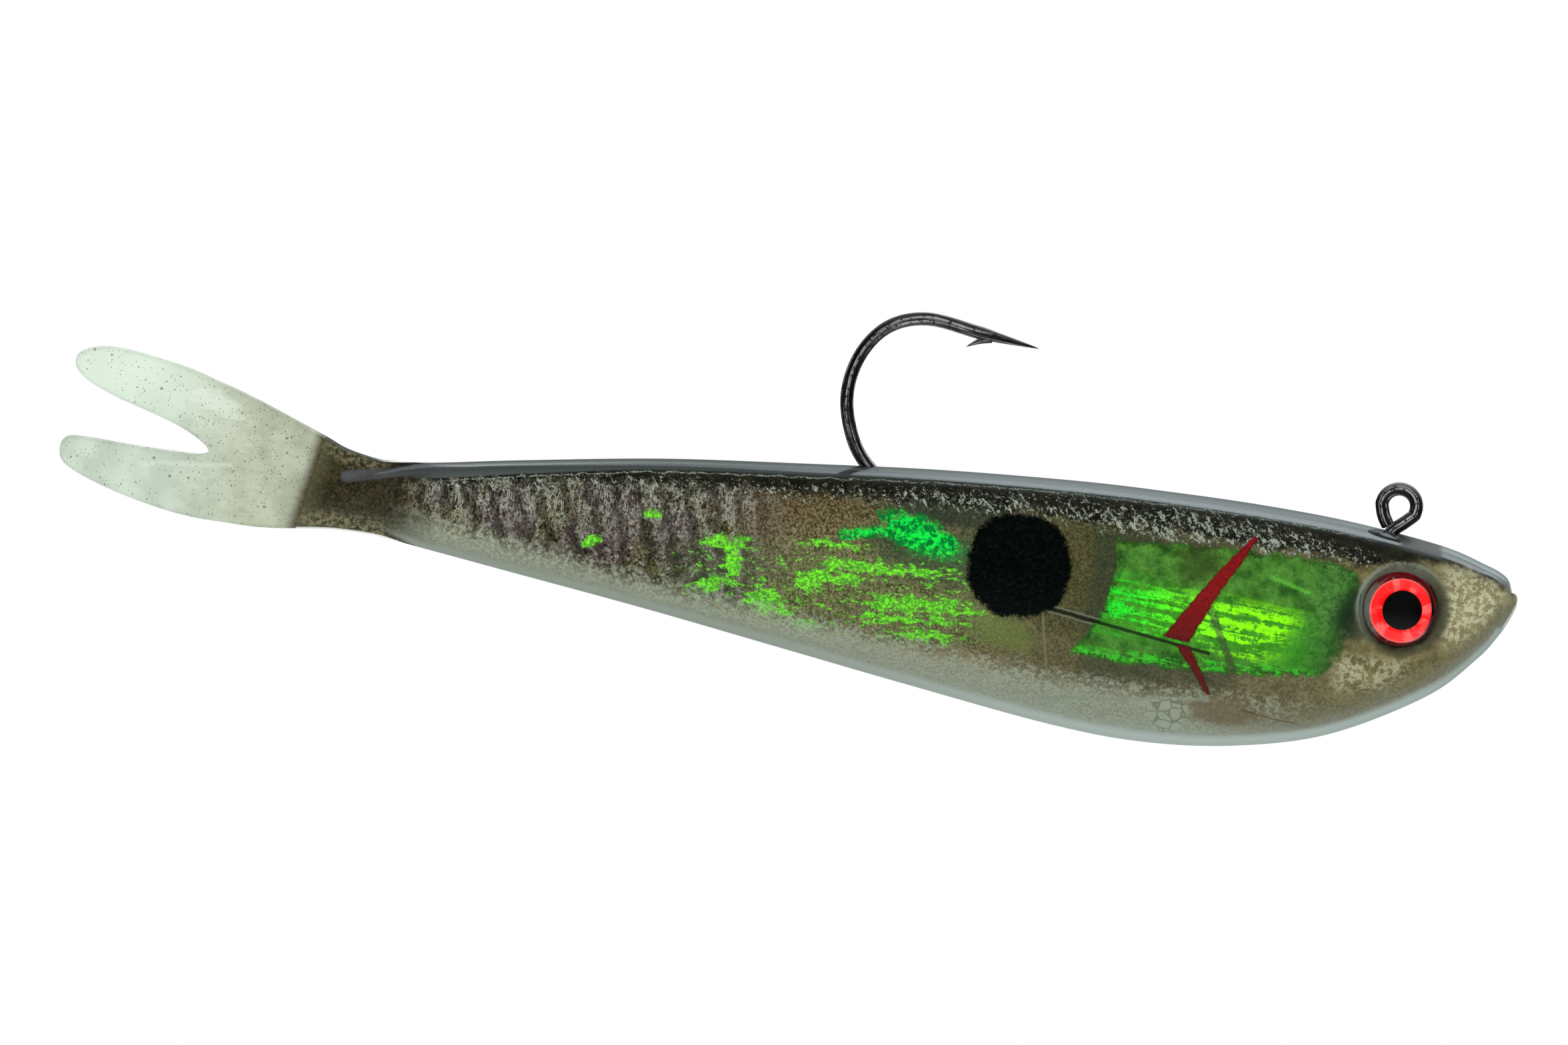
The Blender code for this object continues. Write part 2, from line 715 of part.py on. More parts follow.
def flat_piece(name, outline, material, corners):
    """A flat outline in the XZ plane with rounded edges. Its first, last and listed points are corners."""
    curve = bpy.data.curves.new(name, "CURVE")
    curve.dimensions = "2D"
    curve.fill_mode = "BOTH"
    curve.extrude = FIN_THICK / 2
    curve.resolution_u = 4
    spline = curve.splines.new("BEZIER")
    spline.use_cyclic_u = True
    spline.bezier_points.add(len(outline) - 1)
    for index, (point, (x, z)) in enumerate(zip(spline.bezier_points, outline)):
        corner = index in (0, len(outline) - 1) or index in corners
        point.handle_left_type = "VECTOR" if corner else "AUTO"
        point.handle_right_type = "VECTOR" if corner else "AUTO"
        point.co = (x, z, 0.0)
    flat = bpy.data.objects.new(name, curve)
    cutters.objects.link(flat)
    flat.rotation_euler = (math.radians(90), 0.0, 0.0)
    piece = add_piece(name, meshed(flat), material, pieces)
    bevel = piece.modifiers.new("round edges", "BEVEL")
    bevel.width = FIN_ROUND
    bevel.segments = 2
    bevel.limit_method = "ANGLE"
    bevel.angle_limit = math.radians(60)
    return piece


# ---------------------------------------------------------------- assembly

def hang_on(name, hinge_x, parent, members):
    """An empty on a bending axis that carries the pieces behind it."""
    hinge = bpy.data.objects.new(name, None)
    pieces.objects.link(hinge)
    hinge.location = (hinge_x, 0.0, 0.0)
    bpy.context.view_layer.update()
    for member in members:
        world = member.matrix_world.copy()
        member.parent = hinge
        member.matrix_parent_inverse = hinge.matrix_world.inverted()
        member.matrix_world = world
    if parent is not None:
        hinge.parent = parent
        hinge.matrix_parent_inverse = parent.matrix_world.inverted()
    return hinge


def build():
    hook_room = make_hook_room()
    make_hook()
    body_socket = bending_socket("body_socket", BODY_HINGE_X)
    body_knuckle = bending_knuckle("body_knuckle", BODY_HINGE_X)
    rear_socket = bending_socket("rear_socket", REAR_HINGE_X)
    rear_knuckle = bending_knuckle("rear_knuckle", REAR_HINGE_X)
    tail_socket = bending_socket("tail_socket", TAIL_HINGE_X)
    tail_knuckle = bending_knuckle("tail_knuckle", TAIL_HINGE_X)

    front_skin = make_front_skin()
    cut(front_skin, body_socket, hook_room, mouth_slit())
    for side, sign in SIDES.items():
        cut(front_skin, eye_socket(side, sign))
        make_eye(side, sign)
    cut(make_head_weight(), hook_room)
    for piece in make_core("front", BODY_HINGE_X, LEAD_REAR_X - GAP, FRONT_CORE, 8):
        cut(piece, body_socket, hook_room)
    for piece in make_films("front", BODY_HINGE_X, FRONT_FILM_X, SKIN + FILM + 2 * GAP, 6):
        cut(piece, body_socket)
    make_marks()

    mid_low = REAR_HINGE_X
    mid_high = BODY_HINGE_X + socket_radius(BODY_HINGE_X)
    mid = [make_skin("mid_skin", mid_low, mid_high, SKIN, mid_low - OVERRUN, mid_high + OVERRUN, (7, 7))]
    mid += make_core("mid", mid_low, mid_high, MID_CORE, 5)
    mid += make_films("mid", mid_low, mid_high, SKIN + GAP, 5)
    for piece in mid:
        keep_inside(piece, body_knuckle)
        cut(piece, rear_socket)

    rear_low = TAIL_HINGE_X
    rear_high = REAR_HINGE_X + socket_radius(REAR_HINGE_X)
    inside_high = rear_high + OVERRUN
    rear_skin = make_skin("rear_skin", rear_low, rear_high, REAR_SKIN, REAR_INSIDE_X, inside_high, (7, 5))
    cut(rear_skin, tail_socket)
    inside_low = REAR_INSIDE_X + GAP
    rear = [rear_skin]
    rear += make_core("rear", inside_low, rear_high, REAR_CORE, 5)
    rear += make_films("rear", inside_low, rear_high, REAR_SKIN + GAP, 5)
    for piece in rear:
        keep_inside(piece, rear_knuckle)

    wrist_high = TAIL_HINGE_X + socket_radius(TAIL_HINGE_X)
    wrist_mesh = body_loft("tail_wrist", WRIST_LOW_X, wrist_high, 0.0, 6)
    wrist = add_piece("tail_wrist", wrist_mesh, dark_back, pieces)
    keep_inside(wrist, tail_knuckle, slanted_box("wrist_end", WRIST_REAR_TOP, WRIST_REAR_BOTTOM))
    fin = flat_piece("tail_fin", FIN_BASE, clear_plastic, (3, 4))
    upper_lobe = flat_piece("upper_lobe", UPPER_LOBE, clear_plastic, ())
    lower_lobe = flat_piece("lower_lobe", LOWER_LOBE, clear_plastic, ())

    mid_hinge = hang_on("body_hinge", BODY_HINGE_X, None, mid)
    rear_hinge = hang_on("rear_hinge", REAR_HINGE_X, mid_hinge, rear)
    tail_hinge = hang_on("tail_hinge", TAIL_HINGE_X, rear_hinge, [wrist, fin])
    hang_on("upper_lobe_hinge", LOBE_HINGE_X, tail_hinge, [upper_lobe])
    hang_on("lower_lobe_hinge", LOBE_HINGE_X, tail_hinge, [lower_lobe])


clear_scene()
pieces = new_collection("swimbait")
cutters = new_collection("cutters")
steel = new_material("black nickel steel", (0.10, 0.10, 0.11), 0.25, metallic=1.0)
lead = new_material("lead", (0.28, 0.28, 0.30), 0.55, metallic=1.0)
clear_plastic = new_material("clear plastisol", (0.72, 0.78, 0.72), 0.12, alpha=0.35)
dark_back = new_material("dark back pour", (0.03, 0.035, 0.03), 0.30)
pearl = new_material("pearl belly pour", (0.48, 0.47, 0.40), 0.40)
print_film = new_material("printed scale film", (0.16, 0.14, 0.09), 0.40)
green_foil = new_material("green holographic foil", (0.08, 0.45, 0.06), 0.25, metallic=0.6)
red_print = new_material("red gill mark", (0.16, 0.02, 0.02), 0.50)
black_print = new_material("black print", (0.004, 0.004, 0.004), 0.45)
red_cup = new_material("dark red eye cup", (0.20, 0.004, 0.006), 0.25)
red_foil = new_material("red foil iris", (0.85, 0.02, 0.02), 0.22, metallic=0.7)
build()
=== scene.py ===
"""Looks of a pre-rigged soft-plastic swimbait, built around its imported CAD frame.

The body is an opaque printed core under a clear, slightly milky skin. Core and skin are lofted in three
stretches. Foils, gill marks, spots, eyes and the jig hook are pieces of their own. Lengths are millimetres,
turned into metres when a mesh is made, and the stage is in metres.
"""

import json
import math

import bpy
from mathutils import Matrix, Vector, noise


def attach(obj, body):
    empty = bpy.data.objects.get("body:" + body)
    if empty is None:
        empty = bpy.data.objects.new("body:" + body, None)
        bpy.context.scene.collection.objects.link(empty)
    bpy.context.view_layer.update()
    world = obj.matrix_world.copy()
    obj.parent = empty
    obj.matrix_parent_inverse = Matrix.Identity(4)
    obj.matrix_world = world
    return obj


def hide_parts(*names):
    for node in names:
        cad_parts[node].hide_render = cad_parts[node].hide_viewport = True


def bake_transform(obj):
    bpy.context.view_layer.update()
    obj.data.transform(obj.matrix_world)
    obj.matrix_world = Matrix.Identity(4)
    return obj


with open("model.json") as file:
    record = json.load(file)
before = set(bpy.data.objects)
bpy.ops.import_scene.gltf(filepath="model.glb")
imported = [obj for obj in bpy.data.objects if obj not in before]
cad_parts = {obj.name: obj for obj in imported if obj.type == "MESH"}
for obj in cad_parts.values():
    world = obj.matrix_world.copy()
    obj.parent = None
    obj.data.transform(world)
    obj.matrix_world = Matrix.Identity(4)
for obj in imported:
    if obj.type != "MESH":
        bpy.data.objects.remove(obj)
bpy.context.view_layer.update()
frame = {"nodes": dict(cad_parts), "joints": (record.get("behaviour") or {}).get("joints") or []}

MM = 0.001
SIDES = {"right": -1, "left": 1}
HINGES = {joint["name"]: joint["pos_m"][0] / MM for joint in frame["joints"]}

# The body's outer sections: top x and z, bottom x and z, half width. The last ones fold into the mouth.
BODY = [
    (-88.0, -5.25, -88.0, -11.80, 2.00),
    (-84.0, -5.05, -84.0, -12.45, 2.40),
    (-76.0, -4.00, -76.0, -13.75, 3.10),
    (-64.0, -2.60, -64.0, -15.70, 4.00),
    (-52.0, -1.75, -52.0, -17.85, 4.90),
    (-40.0, -1.05, -40.0, -20.00, 5.70),
    (-28.0, -0.75, -28.0, -22.00, 6.30),
    (-20.0, -0.85, -20.0, -22.65, 6.50),
    (-12.0, -1.15, -12.0, -22.15, 6.60),
    (-4.0, -1.80, -4.0, -20.30, 6.30),
    (4.0, -3.05, 4.0, -16.20, 5.10),
    (8.0, -4.30, 8.0, -12.55, 3.70),
    (9.4, -4.88, 9.6, -10.45, 2.75),
    (10.05, -5.42, 10.35, -9.15, 2.05),
    (10.26, -5.98, 10.80, -8.15, 1.50),
    (10.30, -6.45, 11.00, -7.50, 1.05),
    (10.20, -6.78, 10.86, -7.05, 0.72),
    (9.95, -6.92, 10.50, -6.90, 0.45),
    (9.60, -6.96, 9.80, -6.97, 0.15),
]
WIDEST = 0.42  # share of the height, from the back down, where the body is widest
TAIL_OUTLINE = [  # x, top, bottom: from the fork to where the body's own sections take over
    (-105.0, 0.85, -11.75),
    (-103.1, 0.17, -11.95),
    (-101.0, -0.52, -12.05),
    (-99.0, -1.27, -12.15),
    (-97.0, -2.08, -12.10),
    (-95.0, -2.92, -11.93),
    (-93.0, -3.75, -11.74),
    (-91.0, -4.62, -11.66),
    (-88.0, -5.25, -11.80),
    (-86.0, -5.25, -12.10),
]
CONE = [  # x, top, bottom, half width of the round body's end, which dies out inside the flat tail
    (-94.6, -8.95, -9.05, 0.00),
    (-93.4, -8.10, -9.75, 0.95),
    (-91.5, -7.25, -10.45, 1.45),
    (-88.0, -6.05, -11.20, 2.00),
    (-84.0, -5.05, -12.45, 2.40),
    (-80.0, -4.55, -13.10, 2.75),
]
UPPER_LOBE = [  # x, top, bottom
    (-103.1, 0.17, -6.05),
    (-103.5, 0.32, -5.55),
    (-104.3, 0.60, -5.00),
    (-106.0, 1.08, -4.12),
    (-108.5, 1.60, -3.22),
    (-111.0, 2.02, -2.42),
    (-113.0, 2.08, -1.62),
    (-114.5, 1.72, -0.80),
    (-115.2, 1.20, -0.10),
    (-115.4, 0.58, 0.50),
]
LOWER_LOBE = [
    (-103.1, -6.05, -11.95),
    (-103.5, -6.28, -11.92),
    (-104.3, -6.38, -11.84),
    (-106.0, -6.34, -11.58),
    (-108.5, -6.24, -11.02),
    (-111.0, -6.08, -10.32),
    (-113.5, -5.90, -9.42),
    (-115.2, -5.92, -8.58),
    (-115.85, -6.45, -7.90),
    (-116.0, -7.10, -7.20),
]
SLANT_TOP = (-94.0, -4.0)  # the slanted line where the body's colour ends and the clear tail starts
SLANT_BOTTOM = (-95.7, -11.8)
LEAN = (SLANT_TOP[0] - SLANT_BOTTOM[0]) / (SLANT_TOP[1] - SLANT_BOTTOM[1])

# Where along x one stretch, or one shape, gives way to the next
MIDDLE_SEAM = -64.0
REAR_SEAM = -81.5
ROUND_END = -84.0
BODY_END = -88.0
WEB_SEAM = -94.1
CONE_END = -94.5
FORK = -103.1

# Depths under the skin's surface
CORE_DEPTH = 0.42
WRIST_DEPTH = 0.12
FOIL_DEPTH = 0.33
MARK_DEPTH = 0.22

# The flat tail's half thickness before and behind the slanted line and at the tips, and its rounded edge
THICK_HALF = 0.95
THIN_HALF = 0.62
TIP_HALF = 0.42
EDGE_ROUND = 0.55

RING = 96  # points in a section

# Marks on the sides, as x and z
FOIL_ROWS = [  # top, middle and bottom of the gill foil, from its rear edge forward
    ((-24.3, -5.3), (-24.6, -10.8), (-27.4, -15.6)),
    ((-21.0, -5.2), (-21.5, -10.8), (-22.6, -16.1)),
    ((-16.0, -5.1), (-16.2, -10.6), (-16.4, -16.2)),
    ((-10.5, -5.1), (-10.5, -10.6), (-10.5, -16.0)),
    ((-6.0, -5.2), (-5.9, -10.4), (-5.6, -15.4)),
    ((-3.0, -5.9), (-2.6, -9.6), (-2.7, -13.2)),
]
UPPER_SLASH = [  # rear and front edge of the gill slash, from the top down
    ((-12.5, -3.9), (-12.1, -4.0)),
    ((-14.3, -6.0), (-13.3, -6.3)),
    ((-16.6, -9.0), (-15.2, -9.5)),
    ((-19.5, -13.3), (-17.2, -13.7)),
]
LOWER_SLASH = [
    ((-18.4, -13.9), (-17.1, -13.9)),
    ((-17.0, -15.6), (-16.1, -15.5)),
    ((-15.2, -18.0), (-14.8, -17.9)),
]
SPOT = (-32.4, -8.6)
SPOT_RADIUS = 4.4
RIB_SPACING = 2.15
CREASE = ((-29.8, -11.9), (-15.4, -14.4))  # runs across the gill

# The eyes
EYE = (0.82, -9.0)
IRIS_RADIUS = 2.77
PUPIL_RADIUS = 1.70
SOCKET_RADIUS = 4.15
SOCKET_SHIFT = (0.15, 0.1)  # the socket's middle, from the eye's
LIP_HEIGHT = 0.16
LIP_WIDTH = 0.30
DISH_DEPTH = 0.55
HOLE_DEPTH = 1.3
EYE_HOLE = 2.5
LENS_RADIUS = 2.84
FORWARD_LOOK = 0.06

# The hook's wire
WIRE = 1.15
RING_RADIUS = 1.48
SHANK = [(-2.2, -4.75), (-9.0, -4.95), (-22.0, -5.0), (-36.0, -4.95)]
BEND = [
    (-42.3, -4.10), (-45.3, -2.15), (-47.5, 0.40), (-48.6, 4.30),
    (-47.9, 8.00), (-45.7, 10.80), (-42.3, 11.85), (-37.6, 11.10),
]
POINT_TIP = (-32.5, 10.30)
BARB_ROOT = (-36.7, 10.75)
BARB_TIP = (-38.8, 9.80)


# ---- numbers

def smooth(value, low, high):
    """0 at low, 1 at high, and an S-curve between them."""
    share = min(max((value - low) / (high - low), 0.0), 1.0)
    return share * share * (3 - 2 * share)


def mixed(first, second, share):
    return first + (second - first) * share


def spread(low, high, count):
    return [low + (high - low) * index / (count - 1) for index in range(count)]


def turns(count):
    """Angles all the way round, in equal steps."""
    return [2 * math.pi * index / count for index in range(count)]


def along(rows, place):
    """The row at a place counted along a list of rows, on a Catmull-Rom curve."""
    index = min(max(int(place), 0), len(rows) - 2)
    share = place - index
    here = Vector(rows[index])
    after = Vector(rows[index + 1])
    before = Vector(rows[index - 1]) if index > 0 else 2 * here - after
    last = Vector(rows[index + 2]) if index + 2 < len(rows) else 2 * after - here
    return 0.5 * (
        2 * here
        + (after - before) * share
        + (2 * before - 5 * here + 4 * after - last) * share**2
        + (3 * here - before - 3 * after + last) * share**3
    )


def place_at(rows, x):
    """The place along rows whose first value is x. The first values rise or fall all the way."""
    rising = rows[-1][0] > rows[0][0]
    low = 0.0
    high = len(rows) - 1.0
    for _ in range(30):
        middle = (low + high) / 2
        if (along(rows, middle)[0] < x) == rising:
            low = middle
        else:
            high = middle
    return low


def at(rows, x):
    """The row whose first value is x."""
    return along(rows, place_at(rows, x))


# ---- the body's surface

STRAIGHT_BODY = BODY[:14]  # the sections before the nose folds in


def outline(x):
    """Top and bottom of the body, or of the tail, at x."""
    if x < BODY_END:
        _, top, bottom = at(TAIL_OUTLINE, x)
        return top, bottom
    _, top, _, bottom, _ = at(STRAIGHT_BODY, x)
    return top, bottom


def oval_width(z, top, bottom, half):
    """Half width at z of an oval section."""
    widest = top - WIDEST * (top - bottom)
    rise = (z - widest) / ((top - widest) if z > widest else (widest - bottom))
    return half * math.sqrt(max(1 - rise * rise, 0.0))


def slab_half(x):
    """Half thickness of the flat tail, which grows out of the round body."""
    start = smooth(x, -85.5, -91.0)
    step = mixed(THICK_HALF, THIN_HALF, smooth(x, -94.2, -96.2))
    return start * mixed(step, TIP_HALF, smooth(x, -97.0, -114.0))


def slab_width(z, top, bottom, half, top_round, bottom_round):
    """Half thickness at z of a slab whose edges are rounded as far in as top_round and bottom_round."""
    width = half
    for inside, radius in ((top - z, top_round), (z - bottom, bottom_round)):
        if radius > 0 and inside < radius:
            width *= math.sqrt(max(1 - (1 - max(inside, 0.0) / radius) ** 2, 0.0))
    return width


def side_width(x, z):
    """Half width of the lure at a place seen from the side, from the fork to the mouth."""
    top, bottom = outline(x)
    if x > ROUND_END:
        return oval_width(z, top, bottom, at(STRAIGHT_BODY, x)[4])
    slab = slab_width(z, top, bottom, slab_half(x), EDGE_ROUND, EDGE_ROUND)
    if x < CONE_END:
        return slab
    _, cone_top, cone_bottom, cone_half = at(CONE, x)
    cone = oval_width(z, cone_top, cone_bottom, cone_half)
    return (slab**4 + cone**4) ** 0.25


def slant(x, z):
    """How far a ring at x leans so that the last one of the body lies on the slanted line."""
    middle = (SLANT_TOP[1] + SLANT_BOTTOM[1]) / 2
    share = smooth(x, BODY_END, SLANT_TOP[0]) * (1 - smooth(x, -96.0, -101.0))
    return share * LEAN * (z - middle)


def oval_share(angle):
    """Share of the height, from the back down, at an angle round an oval section."""
    cos = math.cos(angle)
    return WIDEST * (1 - cos) if cos > 0 else WIDEST - (1 - WIDEST) * cos


def body_ring(place):
    """A section between the wrist and the mouth, by its place along BODY."""
    top_x, top_z, bottom_x, bottom_z, half = along(BODY, place)
    points = []
    for angle in turns(RING):
        share = oval_share(angle)
        x = mixed(top_x, bottom_x, share)
        points.append(Vector((x, half * math.sin(angle), mixed(top_z, bottom_z, share))))
    return points


def tail_ring(x):
    """A section at x of the rear end, where the round body turns into the flat tail."""
    points = []
    for index, angle in enumerate(turns(RING)):
        share = oval_share(angle) if x > ROUND_END else (1 - math.cos(angle)) / 2
        lean_x = x + slant(x, mixed(*outline(x), share))
        z = mixed(*outline(lean_x), share)
        side = 1 if index <= RING // 2 else -1
        width = 0.0 if index in (0, RING // 2) else side_width(lean_x, z)
        points.append(Vector((lean_x, side * width, z)))
    return points


def lobe_ring(rows, place, notch_above):
    """A section of a tail lobe. The edge on the notch's side grows round from the fork on."""
    x, top, bottom = along(rows, place)
    notch = 0.5 * smooth(x, FORK, FORK - 2.0)
    tip = min((top - bottom) / 2, EDGE_ROUND)
    radii = (notch, EDGE_ROUND) if notch_above else (EDGE_ROUND, notch)
    rounds = [min(radius, tip) for radius in radii]
    half = slab_half(x) * (tip / EDGE_ROUND) ** 0.5
    points = []
    for index, angle in enumerate(turns(RING // 2)):
        z = mixed(top, bottom, (1 - math.cos(angle)) / 2)
        side = 1 if index <= RING // 4 else -1
        points.append(Vector((x, side * slab_width(z, top, bottom, half, *rounds), z)))
    return points


# ---- meshes

SHARP_ANGLE = 60
SHEET_THICKNESS = 0.04
WELD_REACH = 0.0005


def new_mesh(name, points, faces, places=None, wires=None):
    """A smooth mesh in metres from points in millimetres, which keeps what its patterns are drawn by."""
    mesh = bpy.data.meshes.new(name)
    mesh.from_pydata([tuple(Vector(point) * MM) for point in points], [], faces)
    mesh.update()
    rest = mesh.attributes.new("rest", "FLOAT_VECTOR", "POINT")
    rest.data.foreach_set("vector", [value for point in points for value in point])
    for label, values in (("place", places), ("wire", wires)):
        if values:
            extra = mesh.attributes.new(label, "FLOAT_VECTOR", "POINT")
            extra.data.foreach_set("vector", [value for one in values for value in one])
    mesh.shade_smooth()
    mesh.set_sharp_from_angle(angle=math.radians(SHARP_ANGLE))
    return mesh


def linked(name, data):
    """A new object in the scene."""
    made = bpy.data.objects.new(name, data)
    bpy.context.scene.collection.objects.link(made)
    return made


def new_piece(name, mesh, finish):
    """A piece of the object. Its finish is its material and the slot that it belongs to; the slot is not
    used.
    """
    material, slot = finish
    piece = linked(name, mesh)
    mesh.materials.append(material)
    return piece


def tube_faces(rings, count):
    """Quads between neighbouring rings of count points, all the way round."""
    faces = []
    for row in range(rings - 1):
        for index in range(count):
            here = row * count + index
            after = row * count + (index + 1) % count
            faces.append((here, after, after + count, here + count))
    return faces


def body_places(points):
    """For each point its x, its depth under the back and its height over the belly."""
    places = []
    for x, _, z in points:
        top, bottom = outline(min(max(x, -105.0), 9.3))
        places.append((x, top - z, z - bottom))
    return places


def loft(name, rings, finish, close_start, close_end, keep=None):
    """A piece that is a skin over rings of equal count. keep says which points stay."""
    count = len(rings[0])
    points = [point for ring in rings for point in ring]
    faces = [face[:1] + face[:0:-1] for face in tube_faces(len(rings), count)]
    if close_start:
        faces.append(tuple(range(count)))
    if close_end:
        faces.append(tuple(range(len(points) - 1, len(points) - 1 - count, -1)))
    if keep:
        faces = [face for face in faces if all(keep(points[index]) for index in face)]
    used = sorted({index for face in faces for index in face})
    number = {index: order for order, index in enumerate(used)}
    points = [points[index] for index in used]
    faces = [tuple(number[index] for index in face) for face in faces]
    return new_piece(name, new_mesh(name, points, faces, body_places(points)), finish)


def core_depth(x):
    """How deep the printed core lies under the skin, which thins out over the wrist."""
    return mixed(CORE_DEPTH, WRIST_DEPTH, smooth(x, -80.5, -86.5))


def inset(rings):
    """The rings moved in to the core, square to the surface as each section shows it."""
    moved = []
    for ring in rings:
        count = len(ring)
        depth = core_depth(ring[0].x)
        inner = []
        for index, point in enumerate(ring):
            tangent = ring[(index + 1) % count] - ring[index - 1]
            outward = Vector((0.0, tangent.z, -tangent.y))
            if outward.length < 1e-6:
                inner.append(point.copy())
                continue
            outward.normalize()
            if outward.dot(point - sum(ring, Vector()) / count) < 0:
                outward = -outward
            inner.append(point - outward * depth)
        moved.append(inner)
    return moved


def side_patch(name, grid, sign, depth, relief, finish):
    """A thin sheet on the body's side over a grid of (x, z) points, with its own small relief."""
    points = []
    borders = []
    for row, line in enumerate(grid):
        for column, (x, z) in enumerate(line):
            points.append(Vector((x, sign * (side_width(x, z) - depth + relief(x, z * sign)), z)))
            to_ends = min((Vector((x, z)) - Vector(grid[end][column])).length for end in (0, -1))
            to_sides = min((Vector((x, z)) - Vector(line[end])).length for end in (0, -1))
            borders.append((to_ends, to_sides, 0.0))
    columns = len(grid[0])
    faces = []
    for row in range(len(grid) - 1):
        for column in range(columns - 1):
            corner = row * columns + column
            face = (corner, corner + 1, corner + columns + 1, corner + columns)
            faces.append(face if sign < 0 else face[::-1])
    mesh = new_mesh(name, points, faces, body_places(points), borders)
    piece = new_piece(name, mesh, finish)
    sheet = piece.modifiers.new("thickness", "SOLIDIFY")
    sheet.thickness = SHEET_THICKNESS * MM
    sheet.offset = -1.0
    return piece


def turned(name, profile, steps, matrix, finish):
    """A piece turned about its local Z from (radius, height) points. Points at radius 0 close it."""
    local = [
        Vector((radius * math.cos(angle), radius * math.sin(angle), height))
        for radius, height in profile
        for angle in turns(steps)
    ]
    placed = [matrix @ point for point in local]
    mesh = new_mesh(name, placed, tube_faces(len(profile), steps), wires=local)
    piece = new_piece(name, mesh, finish)
    weld = piece.modifiers.new("weld", "WELD")
    weld.merge_threshold = WELD_REACH * MM
    return piece


def swept(name, route, radii, sides, finish, groove=None):
    """A round wire along a route, with a frame carried along it so that it never twists."""
    points = []
    wires = []
    length = 0.0
    across = Vector((0.0, 1.0, 0.0))
    for index, here in enumerate(route):
        before = route[max(index - 1, 0)]
        after = route[min(index + 1, len(route) - 1)]
        ahead = (after - before).normalized()
        across = (across - ahead * across.dot(ahead)).normalized()
        other = ahead.cross(across)
        length += (here - before).length
        for angle in turns(sides):
            radius = radii[index]
            if groove:
                radius -= groove(length, angle) * radii[index]
            points.append(here + (across * math.cos(angle) + other * math.sin(angle)) * radius)
            wires.append((length, math.cos(angle), math.sin(angle)))
    last = len(points) - sides
    ends = [tuple(range(sides - 1, -1, -1)), tuple(range(last, last + sides))]
    faces = [ends[0], *tube_faces(len(route), sides), ends[1]]
    return new_piece(name, new_mesh(name, points, faces, wires=wires), finish)


# ---- materials: a small language for nodes

class Signal:
    """A value inside a material, with the usual operators. Colours are texts such as #2C5C1E."""

    def __init__(self, tree, socket):
        self.tree = tree
        self.socket = socket

    def __abs__(self):
        return self.tree.math("ABSOLUTE", self, 0.0)

    def between(self, low, high, low_result=0.0, high_result=1.0, kind="SMOOTHSTEP"):
        """Goes smoothly from one result to the other as the signal goes from low to high."""
        inputs = {0: self, 1: low, 2: high, 3: low_result, 4: high_result}
        return self.tree.node("ShaderNodeMapRange", inputs, interpolation_type=kind)

    def straight(self, low, high, low_result=0.0, high_result=1.0):
        return self.between(low, high, low_result, high_result, "LINEAR")

    def window(self, low, high, edge):
        """1 between low and high, fading over the edge on both sides."""
        return self.between(low - edge, low + edge) * self.between(high + edge, high - edge)

    def tones(self, low, high, first, second):
        """A colour that goes from the first to the second as the signal goes from low to high."""
        return self.tree.mix(self.between(low, high), first, second)


def give_operator(name, operation):
    """Lets a signal stand on either side of an operator."""
    setattr(Signal, f"__{name}__", lambda signal, other: signal.tree.math(operation, signal, other))
    setattr(Signal, f"__r{name}__", lambda signal, other: signal.tree.math(operation, other, signal))


give_operator("add", "ADD")
give_operator("sub", "SUBTRACT")
give_operator("mul", "MULTIPLY")
give_operator("truediv", "DIVIDE")
give_operator("pow", "POWER")


def linear(code):
    """The scene's own values for a display colour."""
    values = []
    for start in (1, 3, 5):
        share = int(code[start:start + 2], 16) / 255
        values.append(share / 12.92 if share <= 0.04045 else ((share + 0.055) / 1.055) ** 2.4)
    return (*values, 1.0)


